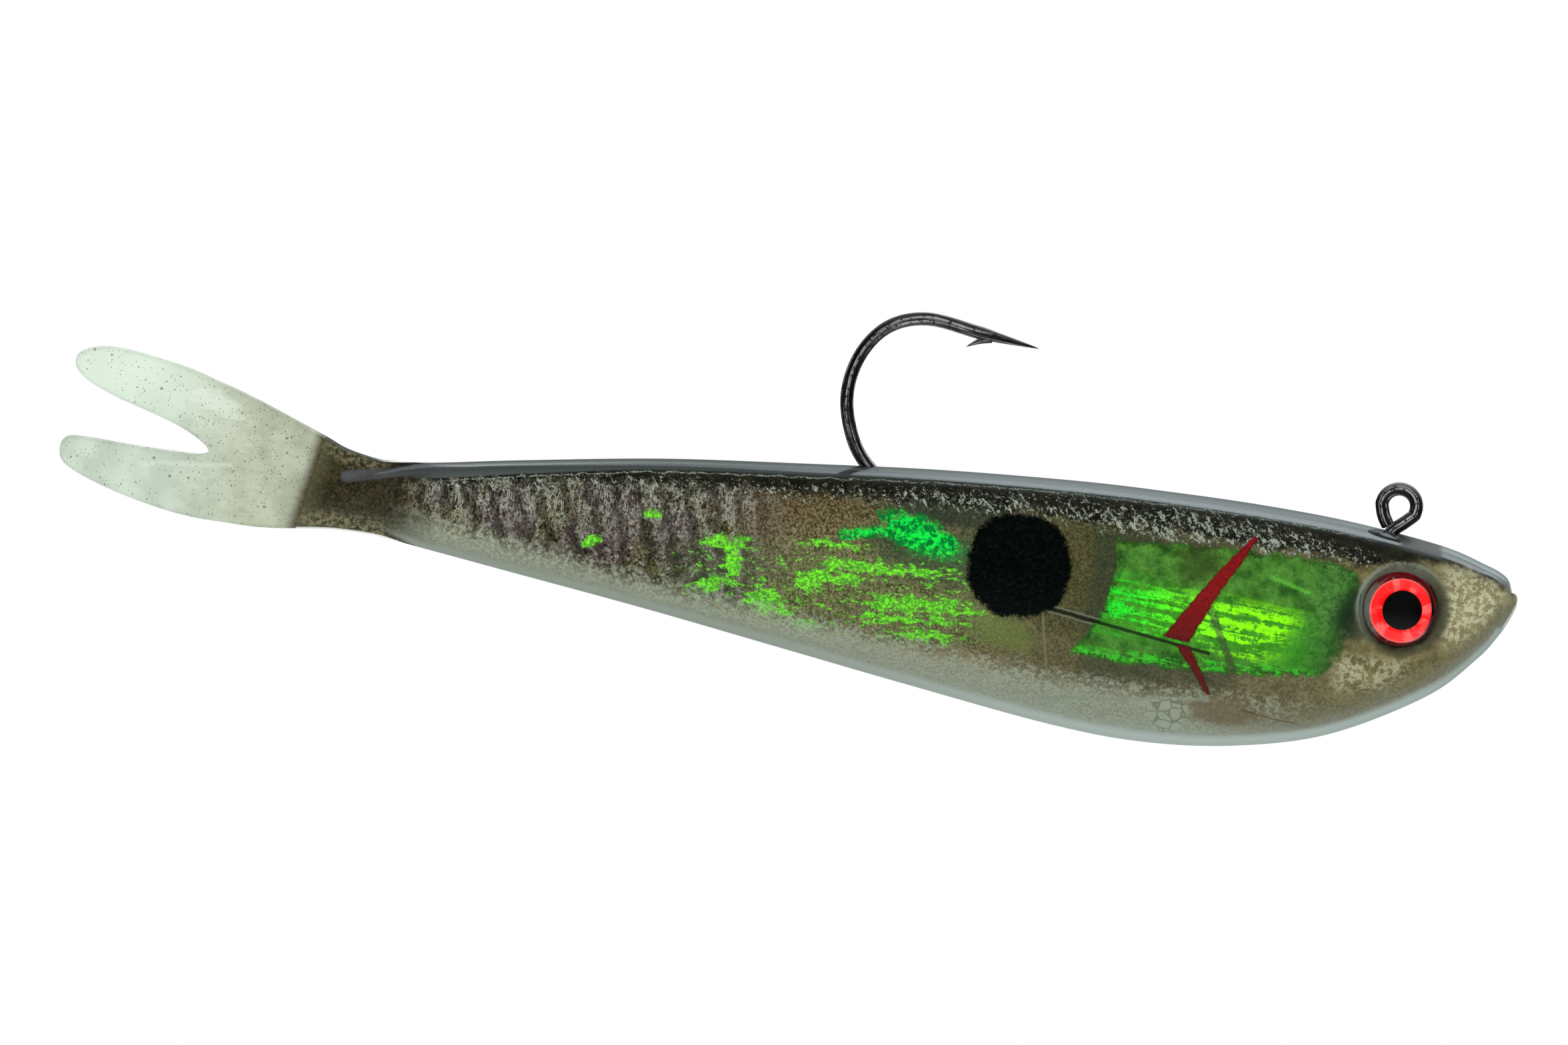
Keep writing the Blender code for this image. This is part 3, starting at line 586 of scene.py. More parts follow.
class Tree:
    """The node tree of a material or a world. A material paints layer on layer over its colour."""

    def __init__(self, name, kind=bpy.data.materials):
        self.owner = kind.new(name)
        self.owner.use_nodes = True
        self.nodes = self.owner.node_tree.nodes
        self.links = self.owner.node_tree.links
        self.nodes.clear()
        self.colour = None

    def feed(self, socket, value):
        if isinstance(value, Signal):
            self.links.new(value.socket, socket)
        else:
            socket.default_value = linear(value) if isinstance(value, str) else value

    def node(self, kind, inputs, output=0, **settings):
        node = self.nodes.new(kind)
        for key, value in settings.items():
            setattr(node, key, value)
        for key, value in inputs.items():
            self.feed(node.inputs[key], value)
        return Signal(self, node.outputs[output])

    def math(self, operation, first, second):
        return self.node("ShaderNodeMath", {0: first, 1: second}, operation=operation)

    def most(self, first, second):
        return self.math("MAXIMUM", first, second)

    def least(self, first, second):
        return self.math("MINIMUM", first, second)

    def split(self, vector):
        node = self.node("ShaderNodeSeparateXYZ", {0: vector}).socket.node
        return [Signal(self, socket) for socket in node.outputs]

    def join(self, x, y, z):
        return self.node("ShaderNodeCombineXYZ", {0: x, 1: y, 2: z})

    def read(self, name):
        """A mesh attribute, whole and as its three numbers."""
        vector = self.node("ShaderNodeAttribute", {}, "Vector", attribute_name=name)
        return vector, *self.split(vector)

    def noise(self, vector, scale, detail=2.0, roughness=0.5, distortion=0.0):
        inputs = {"Scale": scale, "Detail": detail, "Roughness": roughness, "Distortion": distortion}
        return self.node("ShaderNodeTexNoise", {"Vector": vector, **inputs})

    def cells(self, vector, scale, output="Distance", feature="F1"):
        inputs = {"Vector": vector, "Scale": scale}
        return self.node("ShaderNodeTexVoronoi", inputs, output, feature=feature)

    def line(self, x, z, start, end):
        """Distance from a straight stroke seen from the side."""
        run = end[0] - start[0]
        rise = end[1] - start[1]
        share = ((x - start[0]) * run + (z - start[1]) * rise) / (run * run + rise * rise)
        share = self.least(self.most(share, 0.0), 1.0)
        off_x = x - start[0] - share * run
        off_z = z - start[1] - share * rise
        return (off_x * off_x + off_z * off_z) ** 0.5

    def ellipse(self, x, z, centre, radii, tilt=0.0):
        """1 on an ellipse's edge, 0 in its middle, seen from the side."""
        cos = math.cos(tilt)
        sin = math.sin(tilt)
        across = ((x - centre[0]) * cos + (z - centre[1]) * sin) / radii[0]
        up = ((z - centre[1]) * cos - (x - centre[0]) * sin) / radii[1]
        return (across * across + up * up) ** 0.5

    def patch(self, x, z, centre, radii, tilt, wander, edge=1.1, core=0.5):
        """1 in an ellipse's middle, fading out over an edge that wanders."""
        return (self.ellipse(x, z, centre, radii, tilt) + wander).between(edge, core)

    def mix(self, share, first, second):
        inputs = {0: share, 6: first, 7: second}
        return self.node("ShaderNodeMix", inputs, 2, data_type="RGBA")

    def over(self, share, tone):
        """Paints a tone over the colour so far."""
        self.colour = self.mix(share, self.colour, tone)

    def shaded(self, share, colour, factor):
        """The colour with its brightness multiplied by factor, where share says."""
        dark = self.node("ShaderNodeVectorMath", {0: colour, 3: factor}, operation="SCALE")
        return self.mix(share, colour, dark)

    def darken(self, share, factor):
        self.colour = self.shaded(share, self.colour, factor)

    def bump(self, height, distance, strength=1.0):
        inputs = {"Height": height, "Distance": distance * MM, "Strength": strength}
        return self.node("ShaderNodeBump", inputs)

    def principled(self, colour, roughness, **inputs):
        values = {key.replace("_", " "): value for key, value in inputs.items()}
        return self.node("ShaderNodeBsdfPrincipled", {"Base Color": colour, "Roughness": roughness, **values})

    def blend(self, share, first, second):
        return self.node("ShaderNodeMixShader", {0: share, 1: first, 2: second})

    def showing(self, share, shader, tint="#FFFFFF"):
        """The shader where share is 1, clear with a tint where it is 0."""
        return self.blend(share, self.node("ShaderNodeBsdfTransparent", {"Color": tint}), shader)

    def finish(self, shader, kind="ShaderNodeOutputMaterial"):
        self.feed(self.nodes.new(kind).inputs[0], shader)
        return self.owner


# ---- materials

def print_material():
    """The body's core: dark back, printed scale film, green leaf, pale belly and taupe head."""
    t = Tree("printed core")
    rest, x, y, z = t.read("rest")
    _, _, depth, height = t.read("place")
    grain = t.noise(rest, 4.2, 4, 0.72)
    blotch = t.noise(rest, 0.9, 3, 0.6)
    cloud = t.noise(rest, 0.22, 2)
    wobble = (t.noise(rest, 0.7, 3, 0.6) - 0.5) * 2

    speckle = (grain * 1.5 + blotch * 0.5).between(0.86, 1.14)
    speckle = speckle + x.between(-46, -32) * 0.62 * (0.54 - speckle)
    t.colour = t.mix(speckle, "#262112", "#988C68")
    paint_ribs(t, rest, x, z, grain, blotch, cloud)
    paint_leaf(t, rest, x, z, grain, blotch)
    paint_head(t, rest, x, z, grain, blotch, wobble)
    paint_belly(t, rest, x, z, height, grain, wobble)
    paint_back(t, rest, x, y, z, depth, grain, blotch, wobble)
    paint_wrist(t, rest, x, z, depth, height, grain, wobble)
    paint_creases(t, rest, x, z, wobble)
    normal = t.bump(grain + blotch, 0.1, 0.6)
    return t.finish(t.principled(t.colour, 0.55, Normal=normal, Specular_IOR_Level=0.04))


def paint_ribs(t, rest, x, z, grain, blotch, cloud):
    """Rows of scales on the rear half: pale crests on brown, with mauve and tan clouds."""
    olive = x.window(-60, -34, 4) * (cloud + 0.2 * blotch).between(0.44, 0.62)
    t.over(olive * 0.75, grain.tones(0.4, 0.6, "#544E30", "#8C8464"))
    level = z - 0.094 * (x + 52)
    mauve = (cloud + 0.3 * blotch).between(0.56, 0.7) * x.window(-86, -54, 5)
    t.over(mauve * 0.6, grain.tones(0.4, 0.6, "#463038", "#8A7080"))
    amber = x.window(-58, -43.5, 3.5) * level.between(-10, -5.5)
    t.over(amber * 0.55, grain.tones(0.38, 0.62, "#42321C", "#8A7450"))
    t.darken(x.window(-86, -56, 4), 0.62)
    upper = level.between(-6.2, -3.2) * x.window(-84, -46, 4)
    t.darken(upper * 0.8, 0.4)
    slanted = x + 0.28 * z + 3.2 * (blotch - 0.5) + 1.2 * (grain - 0.5)
    wave = t.math("SINE", slanted * (2 * math.pi / RIB_SPACING), 0) * 0.5 + 0.5
    ribbed = z - 0.06 * (x + 70)
    region = x.window(-90, -55, 3) * ribbed.window(-15.5, -3.4, 1.2)
    uneven = t.noise(rest, 0.45, 2).between(0.35, 0.6, 0.35, 1)
    t.darken(region * uneven * wave.between(0.55, 0.05) * 0.85, 0.3)
    scales = t.noise(rest, 2.6, 4, 0.75)
    fine = t.noise(rest, 6, 2, 0.6)
    flecks = (scales + 0.35 * (fine - 0.5)).between(0.54, 0.58)
    pale = region * wave.between(0.3, 0.85, 0.05, 1) * flecks
    upright = t.noise(t.join(x * 1.5, 0, z * 0.55), 1, 4, 0.72)
    veins = abs(upright - 0.5).between(0.032, 0.012) * region * ribbed.between(-12, -6)
    pale = t.most(pale * 0.9, veins * wave.between(0.15, 0.65, 0.3, 1))
    t.over(pale * (0.9 - 0.25 * upper), "#BCBEB4")
    pepper = x.window(-88, -34, 3) * (fine + 0.4 * (scales - 0.5)).between(0.54, 0.6)
    t.darken(pepper * 0.75, 0.3)


def paint_leaf(t, rest, x, z, grain, blotch):
    """The bright green leaf behind the spot, and rows and blots of yellow-green flecks under it."""
    rough = t.noise(rest, 1.5, 4, 0.65)
    fine = t.noise(rest, 3.4, 4, 0.72)
    edge = 1.5 * (rough - 0.5) + 0.5 * (blotch - 0.5)
    t.over(t.patch(x, z, (-40.2, -8.2), (6.8, 3.4), -0.2, 0.6 * edge, 1.1, 0.4) * 0.7, "#2A4232")
    t.over(t.patch(x, z, (-38.5, -4.2), (7.5, 2.3), 0, 0.6 * edge) * 0.75, "#22322C")
    leaf = t.patch(x, z, (-40.9, -6.9), (4.3, 1.65), -0.33, edge, 1.15)
    tail = (t.line(x, z, (-47.6, -7.5), (-43.6, -6.7)) / 0.7 + edge).between(1.1, 0.2) * 0.7
    shape = t.most(leaf, tail)
    mask = (fine + 0.36 * shape).between(0.64, 0.74)
    bright = (rough + 0.6 * (fine - 0.5)).tones(0.42, 0.58, "#067834", "#16F050")
    t.over(t.most(shape * 0.85, mask * shape.between(0, 0.2)), bright)

    wander = 1.3 * (t.noise(t.join(x * 0.3, 0, z * 0.12), 1, 3, 0.6) - 0.5) + 1.4 * (rough - 0.5)
    patchy = t.noise(t.join(x * 0.3, 0, z * 0.7), 0.8, 2).between(0.34, 0.5, 0.45, 1)
    frayed = 7 * (t.noise(t.join(x * 0.2, 0, z * 1.4), 1, 2) - 0.5) + 2 * (rough - 0.5)
    cover = x.window(-63, -35, 2.5) * (z - 0.06 * (x + 48)).window(-17.2, -8.8, 1.2) * 0.36
    for low_x, high_x, row, half in (
        (-49.5, -38, -10, 0.55),
        (-52, -45, -8.4, 0.3),
        (-45.5, -35, -12.8, 1),
        (-46, -36.5, -14.2, 0.4),
        (-45, -36.5, -15.5, 0.5),
    ):
        near_row = (abs(z - row + wander) / half).between(1.9, 0.1)
        stripe = near_row * (x + frayed).window(low_x, high_x, 2.2) * patchy
        cover = t.most(cover, stripe)
    for centre, radii, tilt in (
        ((-57.8, -9.2), (2.6, 0.9), 0.1),
        ((-56.8, -10.9), (1, 1.9), 0.1),
        ((-58.6, -12.9), (2.4, 0.9), 0.45),
        ((-53.6, -14), (2.6, 1.6), -0.35),
        ((-50, -11.5), (2.3, 1.2), 0.35),
        ((-47.2, -11.3), (2.4, 0.6), 0.1),
        ((-50.2, -15.6), (2, 0.7), 0),
        ((-69.3, -10.3), (1.1, 0.6), 0.4),
        ((-64.3, -7.4), (1, 0.6), 0.2),
    ):
        blot = t.patch(x, z, centre, radii, tilt, 1.2 * (rough - 0.5), 1.2, 0.4)
        cover = t.most(cover, blot * 0.98)
    flecks = t.noise(t.join(x * 0.45, z * 0.1, z + x * 0.02), 2, 5, 0.72, 0.5)
    mask = (flecks + 0.27 * cover).between(0.65, 0.725) * cover.between(0.05, 0.3)
    t.over(cover * 0.35, "#708E54")
    green = (fine + 0.4 * (grain - 0.5)).tones(0.42, 0.6, "#54A632", "#88FF38")
    t.over(mask * 0.95, green)
    moss = t.patch(x, z, (-33, -14.4), (3.6, 1.7), -0.2, 0.8 * (rough - 0.5), 1.2, 0.4)
    t.over(moss * 0.5, "#70883E")
    tan = x.window(-50, -34, 2) * z.window(-19, -16.6, 0.7) * blotch.between(0.36, 0.5)
    t.over(tan * 0.75, "#926C3E")


def paint_head(t, rest, x, z, grain, blotch, wobble):
    """Olive round the foil, taupe cheek and nose with pale chips, a painted shadow beside the eye, and a grey
    ring round the eye: painted shade in its socket, lighter on its upper rear side, with a painted highlight
    on the socket's rim.
    """
    olive = x.window(-31, -20, 2) * (z + 0.5 * wobble).between(-15.5, -12.5, 0.35, 1)
    t.over(olive * 0.75, grain.tones(0.35, 0.65, "#282A14", "#5C5A34"))
    teal = (x + 1.2 * wobble).window(-26.2, -13, 1) * z.window(-17.8, -4.4, 1.1)
    t.over(teal * 0.5, "#283A30")
    head = (x + wobble).between(-8, -2)
    skin = (blotch + 0.5 * grain).tones(0.55, 0.95, "#685E3C", "#928760")
    beige = (blotch + 0.5 * grain).tones(0.55, 0.95, "#8A815F", "#A8A07C")
    t.over(head * 0.95, (x + 0.3 * z).tones(0.5, 4, skin, beige))
    chips = t.noise(rest, 2, 4, 0.68)
    nose = x.window(4.4, 9.8, 1.2) * z.window(-11.6, -4.6, 1)
    cheek = x.window(-4.4, 2.2, 1) * z.window(-16.4, -13.4, 0.8)
    mask = (nose * 0.9 + cheek * 0.7) * chips.between(0.48, 0.54)
    t.over(mask * 0.8, "#D4D1B6")
    # Painted shadow: a dark patch just behind the eye's socket.
    t.over(t.patch(x, z, (-2.7, -9.9), (1.7, 3), 0, 0.5 * wobble) * 0.8, "#243226")
    # Painted shade in the eye's socket: a grey ring, lighter on its upper rear side as if lit from there.
    ring = t.ellipse(x, z, (EYE[0] + SOCKET_SHIFT[0], EYE[1] + SOCKET_SHIFT[1]), (1, 1))
    grey = ring.window(1.8, SOCKET_RADIUS - 0.1, 0.4)
    lit = (z - x * 0.8).between(-11.5, -5)
    tone = t.mix(lit, "#464636", "#707870")
    t.over(grey * 0.85, t.mix(grain.between(0.3, 0.7) * 0.4, tone, "#54564A"))
    # Painted highlight on the socket's rim, on its lit side.
    rim = ring.window(SOCKET_RADIUS - 0.25, SOCKET_RADIUS + 0.05, 0.14) * lit
    t.over(rim * 0.5, "#96A098")


def paint_belly(t, rest, x, z, height, grain, wobble):
    """The pale pour under the film, and the white chips along the film's lower edge."""
    edge = x.straight(-62, -24, 1.9, 4) - x.between(-16, -6) * 1.2
    low = (height + 0.8 * wobble - edge).between(1.3, -0.9)
    grey = grain.tones(0.35, 0.65, "#919382", "#B2B6A6")
    warm = grain.tones(0.35, 0.65, "#685F40", "#8A8362")
    pale = x.tones(-20, -4, grey, warm)
    t.over(low * 0.95, pale)
    chips = t.noise(rest, 2.3, 4, 0.7)
    band = (height - edge).window(-1, 1.1, 0.7) * x.between(-3, -12)
    mask = band * chips.between(0.5, 0.57)
    t.over(mask * 0.75, "#B0B4A2")
    rust = t.patch(x, z, (-13.5, -19.2), (3.6, 1.6), 0, 0.8 * wobble)
    t.over(rust * 0.6, "#6C5432")


def paint_back(t, rest, x, y, z, depth, grain, blotch, wobble):
    """The near-black back, white chips along its ragged edge, a painted grey reflection band along its top in
    the rear half, and a fine pale line near its top, a painted highlight at the band's lower edge.
    """
    edge = x.straight(-84, -16, 1.5, 3.7) - x.between(-4, 6) * 2.5
    dark = (depth + 1.3 * wobble + 1.2 * (grain - 0.5) - edge).between(0.5, -0.5)
    black = (blotch + 0.5 * grain).tones(0.6, 1, "#0A0C08", "#2E2A1C")
    t.over(dark * 0.97, black)
    downstroke = t.join(x * 0.8 + z * 0.6, y * 0.3, (x * 0.6 - z * 0.8) * 0.45)
    strokes = t.noise(downstroke, 2.4, 5, 0.74) + 0.015 * x.window(-27, -9, 3)
    flecks = t.noise(rest, 3, 5, 0.76)
    chips = t.most(strokes, flecks)
    middle = x.straight(-84, -20, 1.8, 2.9)
    reach = x.straight(-60, -20, 0.7, 1.5) - x.between(-12, -4) * 0.8
    band = (abs(depth - middle) / reach + 0.6 * wobble).between(1.6, 0.2) * x.window(-84, -2, 3)
    band = band * x.straight(-50, -25, 0.7, 1)
    mask = (chips + 0.09 * band).between(0.642, 0.675) * band.between(0, 0.3)
    t.over(mask * 0.85, "#B8BFB4")
    wave = 0.6 * (t.noise(t.join(x * 0.9, y, 0), 1, 3, 0.6) - 0.5)
    # Painted reflection: a grey band along the top of the rear half, where the soft box would reflect.
    band = x.straight(-82, -66, 1.35, 0.95)
    grey = depth.tones(0.1, 1.2, "#3E4444", "#5C6262")
    t.over((depth - band).between(0.1, -0.1) * x.window(-90, -34, 6) * 0.9, grey)
    # Painted highlight: a fine pale line at the lower edge of the reflection band.
    line = abs(depth - band - 0.25 + wave).between(0.08, 0.02) * grain.between(0.42, 0.54)
    t.over(line * x.window(-82, -3, 2) * 0.8, "#B0B8B0")


def paint_wrist(t, rest, x, z, depth, height, grain, wobble):
    """The brown end of the body, with tan specks over and under it and a painted grey glint, a painted
    reflection, along its top.
    """
    region = x.between(-82, -87.5)
    brown = grain.tones(0.35, 0.7, "#18150B", "#403926")
    t.over(region * 0.94, brown)
    specks = t.noise(rest, 2.6, 4, 0.72)
    edges = (depth + 0.6 * wobble).between(1.8, 0.6) * x.window(-94, -88, 1.5)
    edges = edges + (height + 0.6 * wobble).between(2, 0.7) * x.between(-84, -88)
    mask = edges * specks.between(0.4, 0.62)
    t.over(mask * 0.7, "#968E70")
    rear = (x - 0.22 * z + 1.2 * (grain - 0.5)).between(-90.2, -93)
    t.over(rear * 0.55, t.mix(grain, "#46422C", "#888468"))
    # Painted reflection: a grey glint along the wrist's top, where the back's reflection band runs on.
    glint = t.line(x, z, (-80, -4.9), (-91, -7)) - x.straight(-80, -90, 0.2, 0.48)
    painted_glint = t.mix(grain, "#424246", "#646369")
    t.over((glint + 0.35 * (grain - 0.5)).between(0.16, -0.16) * 0.9, painted_glint)


def paint_creases(t, rest, x, z, wobble):
    """The crease across the gill, drawn as a painted shaded line with a painted highlight beside it, its
    fold, the gill line, the belly line and a cracked pale patch.
    """
    crease = t.line(x, z + 0.12 * wobble, *CREASE)
    # Painted shade along the crease's fold, and a painted highlight just beside it.
    t.over(crease.between(0.19, 0.08) * 0.9, "#141612")
    t.over(crease.window(0.22, 0.34, 0.06) * 0.5, "#969C92")
    for start, end, width, tone in (
        ((-30, -12.2), (-29, -18), 0.14, "#807E6C"),
        ((-29, -19.7), (-15, -18.3), 0.22, "#969E90"),
        ((-12, -19), (-6, -19.9), 0.12, "#605034"),
    ):
        stroke = t.line(x, z + 0.25 * wobble, start, end)
        t.over(stroke.between(width, width * 0.3) * 0.75, tone)
    cracks = t.cells(rest, 1, feature="DISTANCE_TO_EDGE")
    pale = cracks.tones(0.03, 0.09, "#686858", "#B0B8A6")
    t.over(t.patch(x, z, (-18.2, -20), (1.9, 1.7), 0, 0.5 * wobble, 1, 0.8) * 0.55, pale)


def skin_material():
    """Clear plastisol: see-through head on, milky and glossy at a glance, and a painted dark patch by the
    line tie, with its gloss cut, standing in for the tie's shadow.
    """
    t = Tree("clear plastisol skin")
    rest, x, y, z = t.read("rest")
    _, _, depth, height = t.read("place")
    haze = t.noise(rest, 0.6, 3)
    facing = t.node("ShaderNodeLayerWeight", {"Blend": 0.5}, "Facing")
    wrist = x.between(-84, -88.5)
    over = depth.between(1.6, 0.8)
    side = t.most(depth.between(1.5, 6, 0.05, 1) * (1 - 0.8 * wrist), over)
    low = height.between(1.6, 0.4) * (1 - wrist)
    milk = (facing + 0.06 * (haze - 0.5)).between(0.16, 0.8) * side * x.between(-14, 4, 1, 0.5)
    milk = t.most(milk, facing.between(0.1, 0.5) * low)
    # Painted shade: a dark patch by the line tie, with less gloss, stands in for the tie's shadow across the
    # overhead reflection.
    tie = (x + 0.5 * (haze - 0.5)).window(0.2, 3.9, 0.35) * depth.between(1.6, 0.9)
    sheen = x.between(-62, -28, 0.28, 0.9) * (1 - 0.6 * wrist)
    ripple = t.noise(t.join(x * 0.15, y * 0.4, z * 0.4), 0.5, 1)
    pores = t.noise(rest, 3, 2)
    normal = t.bump(ripple + 0.05 * pores, 0.04)
    fresnel = t.node("ShaderNodeFresnel", {"IOR": 1.47, "Normal": normal})
    tone = t.mix(over, x.tones(-60, -20, "#A0AA9C", "#B8C6BE"), "#2E3636")
    # Painted shade: the milky tone darkens towards the underside.
    tone = t.shaded(height.between(1.8, 0.2), tone, 0.74)
    cloudy = t.principled(tone, 0.4, Normal=normal, Specular_IOR_Level=0.05)
    dark = t.principled("#2C2E2A", 0.5, Normal=normal)
    body = t.blend(tie * 0.9, t.showing(milk, cloudy, (0.97, 0.99, 0.96, 1)), dark)
    wet = {"Color": (0.9, 0.97, 1, 1), "Roughness": 0.06, "Normal": normal}
    gloss = t.node("ShaderNodeBsdfGlossy", wet)
    shine = fresnel * sheen * (1 - 0.9 * tie) * depth.between(1, 2.2, 1, 0.45) * (1 - 0.5 * low)
    return t.finish(t.blend(shine, body, gloss))


def tail_material():
    """Milky clear plastisol with brown specks and crinkles, brown up to the slanted line."""
    t = Tree("clear tail plastisol")
    rest, x, y, z = t.read("rest")
    cloud = t.noise(rest, 0.35, 3, 0.6)
    grain = t.noise(rest, 4, 3, 0.65)
    fine = t.noise(t.join(x * 0.35, y, z), 2.4, 3, 0.6)
    rear = x.between(-97, -109)
    near = cloud.tones(0.35, 0.65, "#BCC1A9", "#D4D8C3")
    far = cloud.tones(0.35, 0.65, "#CCD6C8", "#DEE7DB")
    far = t.mix(z.between(-6, 0) * 0.8, far, "#EAF4E8")
    t.colour = t.mix(rear, near, far)
    t.darken(fine.between(0.54, 0.66) * (1 - rear) * 0.6, 0.8)
    # Painted highlights: a pale patch near the upper lobe's root and a pale line across the tail, where its
    # crinkles would catch the light.
    bright = t.patch(x, z, (-102.8, -1.9), (3.2, 1.1), -0.35, 1.6 * (fine - 0.5), 1)
    t.over(bright * 0.7, "#ECF2E8")
    line = t.line(x, z + 0.9 * (cloud - 0.5), (-108.5, -7.7), (-101, -7.1)) + 0.3 * (fine - 0.5)
    t.over(line.between(0.3, 0.03) * 0.4, "#F0F6EE")
    paint_specks(t, rest, x)
    boundary = x - SLANT_TOP[0] - LEAN * (z - SLANT_TOP[1]) + 0.25 * (fine - 0.5)
    brown = grain.tones(0.35, 0.7, "#3A3624", "#68624A")
    t.over((boundary + 0.5 * (grain - 0.5)).between(-0.5, 0.7), brown)
    normal = t.bump(t.noise(t.join(x * 0.5, y, z), 1.1, 4, 0.6), 0.12, 0.7)
    solid = t.principled(t.colour, 0.28, Normal=normal)
    glow = t.node("ShaderNodeBsdfTranslucent", {"Color": t.colour, "Normal": normal})
    facing = t.node("ShaderNodeLayerWeight", {"Blend": 0.5}, "Facing")
    body = t.blend(boundary.between(0.6, -0.4) * 0.35, solid, glow)
    solidity = t.most(0.82 + 0.18 * facing, boundary.between(-0.4, 0.4))
    return t.finish(t.showing(solidity, body, (0.96, 1, 0.96, 1)))


def paint_specks(t, rest, x):
    """Brown specks of three sizes, denser towards the wrist."""
    dense = x.between(-110, -97)
    for scale, size, chance in ((0.62, 0.11, 0.62), (1.6, 0.18, 0.5), (3.4, 0.26, 0.46)):
        distance = t.cells(rest, scale)
        pick = t.split(t.cells(rest, scale, "Color"))[0]
        wanted = (pick - 0.35 * dense).between(chance, chance - 0.02)
        speck = distance.between(size, size * 0.4) * wanted
        t.over(speck * 0.8, "#605436")


def foil_material():
    """Green holographic foil: yellow-green streaks in the lower half, deep green above and at its ends, a
    painted shadow by the eye at its front end, and an emission that makes it glow faintly, most along its
    bright streaks, as painted light.
    """
    t = Tree("green holographic foil")
    rest, x, y, z = t.read("rest")
    grain = t.noise(rest, 4.5, 3, 0.7)
    mottle = t.noise(rest, 2, 4, 0.7)
    blotch = t.noise(rest, 0.8, 3, 0.6)
    flow = t.join(x * 0.16, y * 0.4, z * 1.55 + x * 0.15)
    streaks = t.noise(flow, 1, 4, 0.6, 0.3)
    rough = 0.55 * (mottle - 0.5)
    t.colour = (blotch + 0.6 * grain).tones(0.6, 1, "#2C5C1E", "#609E3E")
    low = (z + 0.1 * (x + 15)).window(-14.3, -9.6, 1.1)
    vivid = x.tones(-24, -12, "#28EB32", "#96FF0A")
    t.over(low * 0.5, "#42B21E")
    bright = low * (streaks + rough + 0.4 * (grain - 0.5)).between(0.45, 0.57)
    bright = bright * (x + 3 * (blotch - 0.5) - 0.6 * z).between(0.5, -3.5)
    t.over(bright * 0.92, vivid)
    under = z.window(-15.9, -14.9, 0.35) * (streaks + rough).between(0.44, 0.54)
    t.over(under * 0.8, "#3CD62C")
    brown = t.patch(x, z, (-16.8, -6.8), (2.8, 2.3), 0, 0.9 * (blotch - 0.5))
    t.over(brown * 0.6, "#425222")
    forward = (x + 2 * (blotch - 0.5)).between(-9, -5)
    t.over(forward * 0.8, mottle.tones(0.35, 0.65, "#305C2A", "#5C9244"))
    # Painted shadow: a dark teal patch at the foil's front end, beside the eye's socket.
    teal = t.patch(x, z, (-3.2, -10), (2.4, 3), 0, 0.9 * (blotch - 0.5), 1.1, 0.4)
    t.over(teal * 0.8, "#1A2E26")
    flare = t.line(x, z + 0.6 * (mottle - 0.5), (-10.6, -7.3), (-7.4, -8.3))
    t.over(flare.between(0.3, 0.02) * 0.6, "#6ECE46")
    specks = t.cells(rest, 2.2)
    t.darken(specks.between(0.22, 0.1) * 0.7, 0.4)
    t.darken(grain.between(0.5, 0.62) * 0.75, 0.45)
    gill = t.line(x, z, (-15.8, -10.3), (-13, -16)) + 0.3 * (mottle - 0.5)
    t.over(gill.between(0.42, 0.2) * 0.75, "#465636")
    # Painted shade: the crease's dark line runs on over the foil.
    crease = t.line(x, z, *CREASE)
    crease_shade = crease.between(0.2, 0.08) * 0.9
    t.over(crease_shade, "#161A14")
    normal = t.bump(streaks + 0.2 * grain, 0.25, 0.7)
    # Painted light: the foil glows, most along its bright streaks and the lower band, though it is no lamp.
    glow = (bright * x.between(-24, -15, 0.16, 0.4) + 0.15 * under) * (1 - crease_shade) + 0.05
    lit = {"Emission_Color": t.colour, "Emission_Strength": glow}
    foil = t.principled(t.colour, 0.36, Metallic=0.15, Normal=normal, Specular_IOR_Level=0.1, **lit)
    border = border_distance(t) + 1.4 * (mottle - 0.5) + 0.8 * (blotch - 0.5)
    front_end = (x + 2.4 * (mottle - 0.5) - 0.35 * (z + 10)).between(-2.2, -5.4)
    return t.finish(t.showing(border.between(0, 0.7) * front_end, foil))


def border_distance(t):
    """How far in from its border a point on a side's sheet lies."""
    _, to_ends, to_sides, _ = t.read("wire")
    return t.least(to_ends, to_sides)


def slash_material():
    """Dark red print, soft at its border."""
    t = Tree("red gill mark")
    rest, _, _, z = t.read("rest")
    grain = t.noise(rest, 3.5, 3, 0.7)
    tone = z.tones(-8, -15, "#921A1E", "#701C1C")
    colour = t.shaded(grain.between(0.4, 0.7), tone, 0.6)
    mark = t.principled(colour, 0.5, Normal=t.bump(grain, 0.06), Specular_IOR_Level=0.04)
    border = border_distance(t) + 0.25 * (grain - 0.5)
    return t.finish(t.showing(border.between(-0.02, 0.16), mark))


def spot_material():
    """A black spot whose rim thins out into specks."""
    t = Tree("black shoulder spot")
    rest, x, _, z = t.read("rest")
    grain = t.noise(rest, 3, 4, 0.72)
    uneven = t.noise(rest, 0.6, 2)
    colour = grain.tones(0.45, 0.75, "#020504", "#101C18")
    spot = t.principled(colour, 0.6, Normal=t.bump(grain, 0.05), Specular_IOR_Level=0)
    across = abs(x - SPOT[0]) / SPOT_RADIUS
    up = abs(z - SPOT[1]) / SPOT_RADIUS
    squareness = 2.3
    rim = (across**squareness + up**squareness) ** (1 / squareness)
    rim = rim + 0.2 * (uneven - 0.5) + 0.3 * (grain - 0.5)
    return t.finish(t.showing(rim.between(1.06, 0.9), spot))


